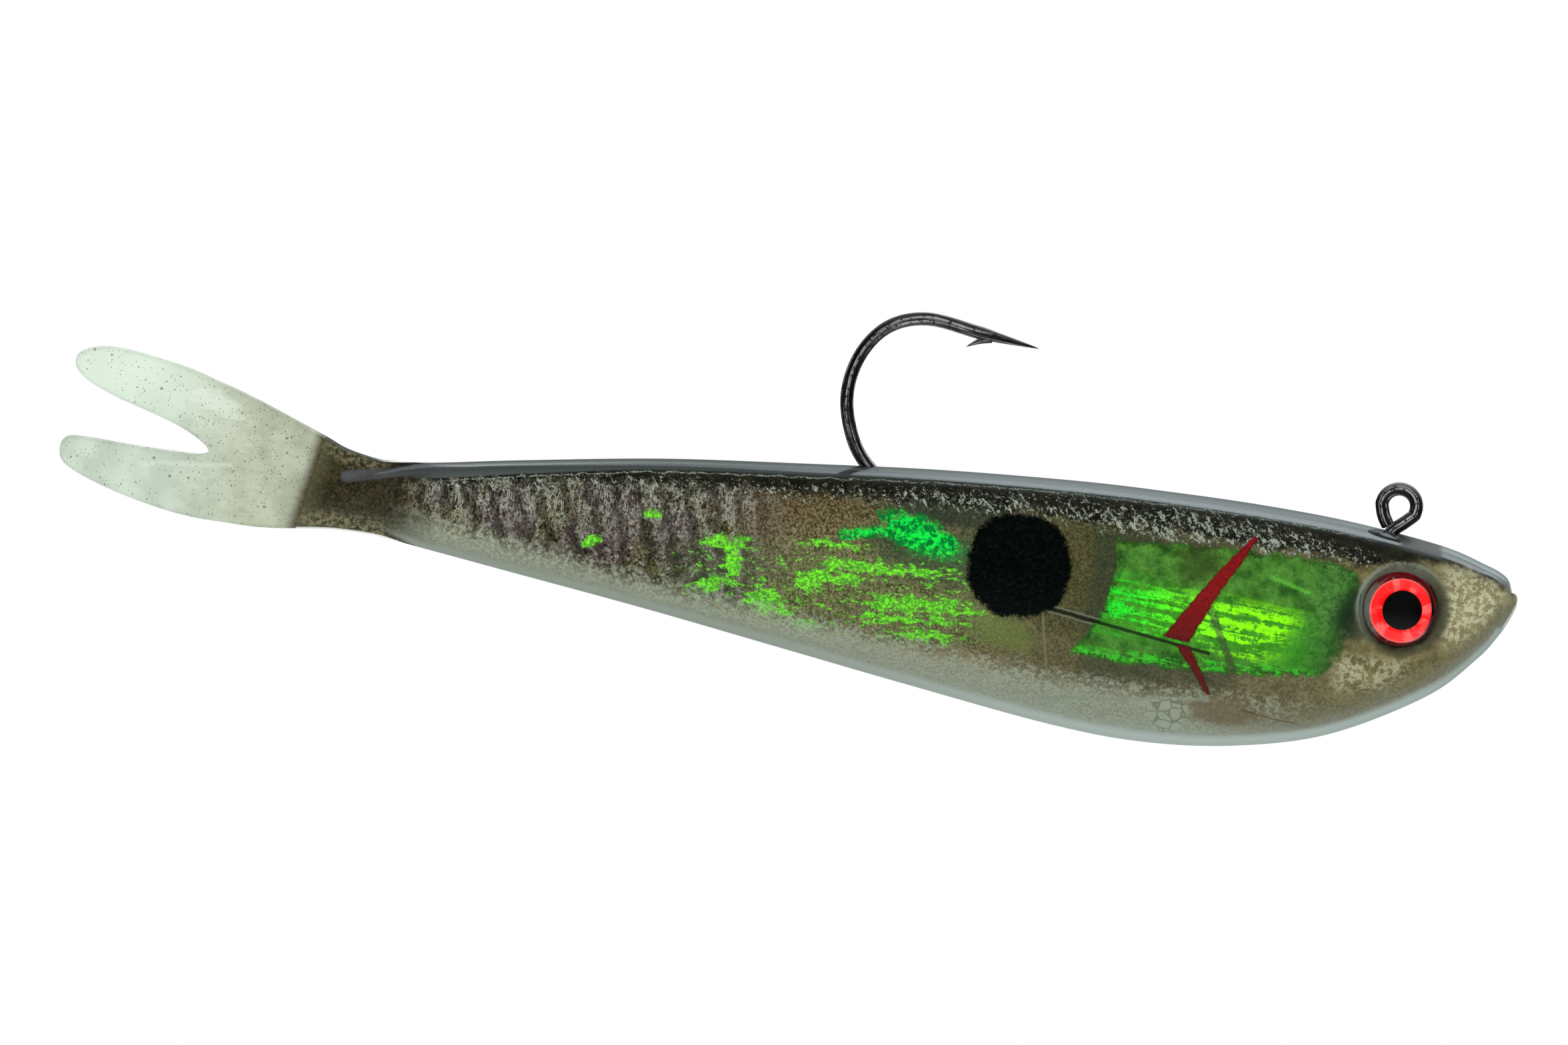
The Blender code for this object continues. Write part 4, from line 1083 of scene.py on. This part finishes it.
def steel_material():
    """Black nickel on drawn wire: dark grey metal with pale lengthwise lines painted on as highlights."""
    t = Tree("black nickel wire")
    _, length, cos, sin = t.read("wire")
    streaks = t.noise(t.join(length * 0.1, cos * 3, sin * 3), 1, 4, 0.65)
    spots = t.noise(t.read("rest")[0], 2.4, 3, 0.7)
    # Painted highlights: pale lines along the wire, where a polished wire would catch the light.
    lines = streaks.between(0.52, 0.6) * spots.between(0.64, 0.5)
    t.colour = streaks.tones(0.36, 0.58, "#1E1E20", "#68686A")
    t.over(lines * 0.7, "#CDCDCF")
    roughness = streaks.between(0.3, 0.7, 0.38, 0.22)
    metal = lines.between(0, 1, 0.95, 0.45)
    return t.finish(t.principled(t.colour, roughness, Metallic=metal, Normal=t.bump(streaks, 0.05)))


def lead_material():
    """Dull grey cast metal."""
    t = Tree("cast lead")
    place = t.node("ShaderNodeTexCoord", {}, "Object")
    grain = t.noise(place, 900, 4, 0.6)
    colour = t.mix(grain, "#54565A", "#84868A")
    normal = t.bump(grain, 0.08)
    return t.finish(t.principled(colour, 0.55, Metallic=0.8, Normal=normal))


def cup_material():
    """Dark red, and darker and browner towards the cup's rim, as painted shade."""
    t = Tree("dark red eye cup")
    grain = t.noise(t.read("rest")[0], 3, 3, 0.6)
    t.colour = grain.tones(0.35, 0.7, "#540408", "#88080C")
    # Painted shade: the cup's rim is darkened.
    t.over(t.read("wire")[3].between(-0.5, -0.25) * 0.8, "#341816")
    return t.finish(t.principled(t.colour, 0.45, Specular_IOR_Level=0.2))


def iris_material():
    """Red foil with pale facets as painted highlights, and a faint emission that makes it glow as painted
    light.
    """
    t = Tree("red foil iris")
    _, across, up, _ = t.read("wire")
    radius = (across * across + up * up) ** 0.5
    spokes = t.join(across / radius * 1.6, up / radius * 1.6, radius * 0.25)
    facets = t.noise(spokes, 1.3, 2)
    fine = t.noise(t.read("rest")[0], 2.4, 3, 0.6)
    # Painted highlights: pale facets on the foil.
    pale = (facets + 0.35 * (fine - 0.5)).between(0.5, 0.66)
    t.colour = t.mix(pale * 0.4, "#FF0204", "#FF827C")
    rim = radius.between(IRIS_RADIUS - 0.14, IRIS_RADIUS - 0.04)
    t.over(rim * 0.5, "#FF968C")
    # Painted light: the iris glows faintly though it is no lamp.
    lit = {"Emission_Color": t.colour, "Emission_Strength": 0.32}
    return t.finish(t.principled(t.colour, 0.35, Normal=t.bump(facets, 0.05), **lit))


def pupil_material():
    t = Tree("black pupil")
    grain = t.noise(t.read("rest")[0], 3, 2)
    colour = t.mix(grain, "#010101", "#060506")
    return t.finish(t.principled(colour, 0.7, Specular_IOR_Level=0.1))


def lens_material():
    """Clear epoxy dome."""
    t = Tree("clear epoxy lens")
    wave = t.noise(t.read("rest")[0], 0.5, 1)
    fresnel = t.node("ShaderNodeFresnel", {"IOR": 1.45})
    gloss = t.node("ShaderNodeBsdfGlossy", {"Roughness": wave.between(0.3, 0.7, 0.04, 0.08)})
    return t.finish(t.showing(fresnel, gloss, (1, 0.99, 0.99, 1)))


# ---- pieces

def nose_places(low_x):
    """Places along BODY from low_x to the mouth, closer together towards the nose."""
    start = place_at(STRAIGHT_BODY, low_x)
    nose = [row[0] for row in STRAIGHT_BODY].index(4.0)
    return spread(start, nose, 190)[:-1] + spread(nose, len(BODY) - 1.0, 110)


def dished(rings):
    """The rings pushed in round each eye: a shallow socket with a soft rim."""
    for ring in rings:
        for point in ring:
            reach = math.hypot(point.x - EYE[0] - SOCKET_SHIFT[0], point.z - EYE[1] - SOCKET_SHIFT[1])
            if reach < SOCKET_RADIUS + 1.2:
                lip = LIP_HEIGHT * math.exp(-((reach - SOCKET_RADIUS) / LIP_WIDTH) ** 2)
                dish = DISH_DEPTH * (1 - smooth(reach, 3.1, SOCKET_RADIUS))
                hole = HOLE_DEPTH * (1 - smooth(reach, 2.65, 3.0))
                point.y *= 1 + (lip - dish - hole) / max(abs(point.y), 1.0)
    return rings


def clear_of_eyes(point):
    return math.hypot(point.x - EYE[0], point.z - EYE[1]) > EYE_HOLE or abs(point.y) < 1.5


def make_body(finishes):
    """Three stretches of core and skin."""
    front = dished([body_ring(place) for place in nose_places(MIDDLE_SEAM)])
    middle = [tail_ring(x) for x in spread(REAR_SEAM, MIDDLE_SEAM, 36)]
    rear = [tail_ring(x) for x in spread(WEB_SEAM, REAR_SEAM, 44)]
    for name, rings, body, next_body, joint, reach in (
        ("front", front, "front", "mid", "body_flex", 8.5),
        ("middle", middle, "mid", "rear", "rear_flex", 8.5),
        ("rear", rear, "rear", "tail", "tail_flex", 3.8),
    ):
        in_front = rings is front
        keep = clear_of_eyes if in_front else None
        start = ((HINGES[joint] + reach) * MM, 0.0, 0.0)
        end = ((HINGES[joint] - reach) * MM, 0.0, 0.0)
        core = loft(f"{name}_printed_core", inset(rings), finishes["print"], True, True, keep)
        skin = loft(f"{name}_clear_skin", rings, finishes["skin"], False, in_front, keep)
        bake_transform(core)
        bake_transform(skin)
        replace_segment(body)
    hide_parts("tail_wrist")


def replace_segment(segment):
    films = [f"{side}_{segment}_film" for side in SIDES]
    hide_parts(f"{segment}_back", f"{segment}_belly", *films)
    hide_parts(f"{segment}_skin")


def make_tail(finishes):
    rings = [tail_ring(x) for x in spread(FORK, WEB_SEAM, 40)]
    piece = loft("tail_web", rings, finishes["tail"], False, False)
    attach(piece, "tail")
    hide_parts("tail_fin")
    for name, rows, notch_above in (("upper_lobe", UPPER_LOBE, False), ("lower_lobe", LOWER_LOBE, True)):
        last = len(rows) - 1.0
        places = spread(0.0, last - 2.0, 50)[:-1] + spread(last - 2.0, last, 30)
        rings = [lobe_ring(rows, place, notch_above) for place in reversed(places)]
        lobe = loft(f"{name}_fin", rings, finishes["tail"], True, False)
        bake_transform(lobe)
        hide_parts(name)


def wavy(amount, size, seed):
    """A small relief that follows smooth noise."""
    def relief(x, z):
        return amount * noise.noise(Vector((x / size, z / size, seed)))
    return relief


def ragged(point, amount, size):
    """A point nudged along the surface by noise, for an edge that isn't cut clean."""
    x, z = point
    push_x = noise.noise(Vector((x / size, z / size, 3.0)))
    push_z = noise.noise(Vector((x / size, z / size, 9.5)))
    return x + amount * push_x, z + amount * push_z


def row_grid(rows, counts):
    """A grid of points over rows of given points, on curves both ways."""
    grid = []
    width = len(rows[0])
    for place in spread(0.0, len(rows) - 1.0, counts[0]):
        knots = [tuple(along([row[column] for row in rows], place)) for column in range(width)]
        grid.append([tuple(along(knots, share)) for share in spread(0.0, width - 1.0, counts[1])])
    return grid


def disc_grid(centre, radius, count):
    """A grid squeezed into a disc with a slightly uneven edge."""
    grid = []
    for across in spread(-1, 1, count):
        row = []
        for up in spread(-1, 1, count):
            x = across * math.sqrt(1 - up * up / 2)
            z = up * math.sqrt(1 - across * across / 2)
            uneven = 1 + 0.035 * noise.noise(Vector((x * 2.5, z * 2.5, 7.0))) * (x * x + z * z)
            row.append((centre[0] + radius * x * uneven, centre[1] + radius * z * uneven))
        grid.append(row)
    return grid


def ragged_rows(rows, counts, amount, size):
    return [[ragged(point, amount, size) for point in row] for row in row_grid(rows, counts)]


def make_marks(finishes):
    foil = ragged_rows(FOIL_ROWS, (110, 60), 0.35, 1.1)
    upper = ragged_rows(UPPER_SLASH, (60, 9), 0.10, 0.5)
    lower = ragged_rows(LOWER_SLASH, (34, 7), 0.10, 0.5)
    spot = disc_grid(SPOT, SPOT_RADIUS + 0.35, 44)
    for side, sign in SIDES.items():
        for name, grid, depth, relief, finish, node in (
            ("gill_foil", foil, FOIL_DEPTH, wavy(0.05, 0.9, 1.0), "foil", "gill_foil"),
            ("gill_slash_upper", upper, MARK_DEPTH, wavy(0.02, 1.2, 2.0), "slash", "gill_slash"),
            ("gill_slash_lower", lower, MARK_DEPTH, wavy(0.02, 1.2, 2.0), "slash", "gill_slash"),
            ("shoulder_spot", spot, MARK_DEPTH, wavy(0.02, 1.5, 4.0), "spot", "shoulder_spot"),
        ):
            piece = side_patch(f"{side}_{name}_print", grid, sign, depth, relief, finishes[finish])
            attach(piece, "front")
            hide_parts(f"{side}_{node}")


def eye_matrix(sign, shift_x=0.0, shift_z=0.0):
    """Places an eye: local +Z points out of the head, local +Y up."""
    x = EYE[0] + shift_x
    z = EYE[1] + shift_z
    outward = Vector((FORWARD_LOOK, sign, 0.0)).normalized()
    turn = outward.to_track_quat("Z", "Y").to_matrix().to_4x4()
    return Matrix.Translation(Vector((x, sign * side_width(EYE[0], EYE[1]), z))) @ turn


def make_eyes(finishes):
    cup = [
        (3.22, -0.40), (3.20, -0.26), (3.16, -0.22), (3.11, -0.26), (3.08, -0.45),
        (3.00, -1.05), (0.0, -1.10), (0.0, -1.8), (3.18, -1.8), (3.22, -0.40),
    ]
    iris = [
        (PUPIL_RADIUS - 0.05, -0.86), (2.2, -0.82), (IRIS_RADIUS - 0.08, -0.76), (IRIS_RADIUS, -0.84),
        (IRIS_RADIUS, -1.04), (PUPIL_RADIUS - 0.05, -1.04), (PUPIL_RADIUS - 0.05, -0.86),
    ]
    pupil = [
        (0.0, -0.70), (1.2, -0.70), (1.62, -0.74), (PUPIL_RADIUS, -0.82), (PUPIL_RADIUS, -1.0), (0.0, -1.0),
    ]
    lens = [(LENS_RADIUS * share, -0.30 + 1.15 * (1 - share * share)) for share in spread(0.0, 1.0, 16)]
    for side, sign in SIDES.items():
        for name, profile, finish, shift in (
            ("eye_cup", cup, "cup", (-0.22, 0.15)),
            ("eye_iris", iris, "iris", (0.0, 0.0)),
            ("eye_pupil", pupil, "pupil", (0.08, 0.05)),
            ("eye_lens", lens, "lens", (0.0, 0.0)),
        ):
            piece = turned(f"{side}_{name}_fine", profile, 72, eye_matrix(sign, *shift), finishes[finish])
            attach(piece, "front")
            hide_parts(f"{side}_{name}")


def hook_route():
    """Points along the wire's middle from the cut end to the point, with the wire's radius at each."""
    knots = [(-0.74, 0.66, -1.84), (-1.24, 0.62, -0.92)]
    first, last = 180, -30  # where the line tie's ring starts and ends, in degrees
    for degrees in range(first, last - 1, -10):
        angle = math.radians(degrees)
        side = mixed(-0.10, 0.58, (degrees - last) / (first - last))
        knots.append((RING_RADIUS * math.cos(angle), side, RING_RADIUS * math.sin(angle)))
    knots += [(0.50, -0.28, -1.42), (-0.40, -0.24, -2.20), (-1.30, -0.08, -3.50)]
    knots += [(x, 0.0, z) for x, z in SHANK + BEND]
    route = [along(knots, place) for place in spread(0.0, len(knots) - 1.0, 460)]
    radii = [WIRE / 2] * len(route)
    start = Vector((BEND[-1][0], 0.0, BEND[-1][1]))
    tip = Vector((POINT_TIP[0], 0.0, POINT_TIP[1]))
    for share in spread(0.03, 1.0, 34):
        route.append(start.lerp(tip, share))
        radii.append(WIRE / 2 * (1 - share) ** 0.85 + 0.012)
    radii[0] = WIRE / 2 * 0.86
    return route, radii


def make_hook(finishes):
    def groove(length, angle):
        lines = 0.035 * max(math.cos(angle * 3 + 0.25 * math.sin(length * 0.35)), 0.0) ** 6
        return lines + 0.012 * noise.noise(Vector((length * 0.4, math.cos(angle) * 2, math.sin(angle) * 2)))

    route, radii = hook_route()
    wire = swept("jig_hook_wire", route, radii, 28, finishes["steel"], groove)
    root = Vector((BARB_ROOT[0], 0.0, BARB_ROOT[1]))
    tip = Vector((BARB_TIP[0], 0.0, BARB_TIP[1]))
    route = []
    radii = []
    for share in spread(0.0, 1.0, 14):
        route.append(root.lerp(tip, share) + Vector((0.0, 0.0, 0.10 * math.sin(math.pi * share))))
        radii.append(0.40 * (1 - share) ** 0.8 + 0.01)
    barb = swept("jig_hook_barb", route, radii, 16, finishes["steel"])
    for piece in (wire, barb):
        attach(piece, "front")
        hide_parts("jig_hook")


# ---- camera, light and floor

CAMERA_AIM = Vector((-52.9, 0.0, -7.0)) * MM
CAMERA_ROLL = 6.0
FRAME_WIDTH = 135.9
LENS = 200.0
SENSOR = 36.0


def make_camera():
    data = bpy.data.cameras.new("camera")
    data.lens = LENS
    data.sensor_width = SENSOR
    data.clip_end = 20.0
    camera = linked("camera", data)
    distance = FRAME_WIDTH * MM * LENS / SENSOR
    turn = Matrix.Rotation(math.radians(90), 4, "X") @ Matrix.Rotation(math.radians(CAMERA_ROLL), 4, "Z")
    camera.matrix_world = Matrix.Translation(CAMERA_AIM + Vector((0.0, -distance, 0.0))) @ turn
    bpy.context.scene.camera = camera


def make_light(name, place, size, power):
    data = bpy.data.lights.new(name, "AREA")
    data.shape = "SQUARE"
    data.size = size
    data.energy = power
    lamp = linked(name, data)
    lamp.location = place
    lamp.rotation_euler = (CAMERA_AIM - lamp.location).to_track_quat("-Z", "Y").to_euler()
    lamp.visible_glossy = False


GLOW = (  # degrees up from the horizon behind the lure and over it, and the brightness there
    (-180, 0.012), (-120, 0.08), (-60, 0.13), (-20, 0.07), (0, 0.025), (12, 0.04), (28, 0.10),
    (42, 0.20), (54, 0.42), (64, 0.80), (70, 0.78), (73, 0.03), (140, 0.012), (180, 0.012),
)


def make_world():
    """A white surround. Gloss reflects a soft box behind and overhead, a pale floor and a dim front."""
    t = Tree("studio", bpy.data.worlds)
    bpy.context.scene.world = t.owner
    x, y, z = t.split(t.node("ShaderNodeTexCoord", {}, "Generated"))
    turn = t.math("ARCTAN2", z, y).straight(-math.pi, math.pi)
    glow = t.node("ShaderNodeValToRGB", {0: turn})
    stops = glow.socket.node.color_ramp.elements
    for index, (degrees, level) in enumerate(GLOW):
        position = (degrees + 180) / 360
        stop = stops[index] if index < 2 else stops.new(position)
        stop.position = position
        stop.color = (level * 0.94, level * 0.99, level, 1.0)
    strength = t.node("ShaderNodeMath", {0: x}, operation="ABSOLUTE").straight(0.50, 0.90, 6.0, 0.4)
    sky = t.node("ShaderNodeBackground", {"Color": glow, "Strength": strength})
    white = t.node("ShaderNodeBackground", {"Color": "#FFFFFF"})
    seen = t.node("ShaderNodeLightPath", {}, "Is Camera Ray")
    t.finish(t.blend(seen, sky, white), "ShaderNodeOutputWorld")


def make_floor():
    """A round pale floor well below the lure."""
    radius = 0.62
    height = -0.10
    rim = [(CAMERA_AIM.x + radius * math.cos(angle), radius * math.sin(angle), height) for angle in turns(96)]
    mesh = bpy.data.meshes.new("floor")
    mesh.from_pydata(rim, [], [range(len(rim))])
    floor = linked("floor", mesh)
    t = Tree("pale floor")
    mesh.materials.append(t.finish(t.principled((0.9, 0.9, 0.9, 1.0), 0.9)))
    floor.visible_glossy = False


def make_stage():
    make_camera()
    make_world()
    make_floor()
    make_light("key", (0.15, -0.62, 0.30), 0.5, 3.5)
    make_light("fill", (-0.40, -0.60, -0.02), 0.5, 1.6)
    make_light("far side", (-0.05, 0.62, 0.10), 0.5, 1.4)
    bpy.context.scene.view_settings.view_transform = "Standard"


# ---- assembly

finishes = {
    "print": (print_material(), "print_film"),
    "skin": (skin_material(), "clear_plastisol"),
    "tail": (tail_material(), "tail_plastisol"),
    "foil": (foil_material(), "gill_foil"),
    "slash": (slash_material(), "gill_red"),
    "spot": (spot_material(), "black_print"),
    "steel": (steel_material(), "hook_steel"),
    "cup": (cup_material(), "eye_cup"),
    "iris": (iris_material(), "eye_foil"),
    "pupil": (pupil_material(), "black_print"),
    "lens": (lens_material(), "eye_lens"),
}
make_stage()
make_body(finishes)
make_tail(finishes)
make_marks(finishes)
make_eyes(finishes)
make_hook(finishes)
frame["nodes"]["head_weight"].data.materials.clear()
frame["nodes"]["head_weight"].data.materials.append(lead_material())
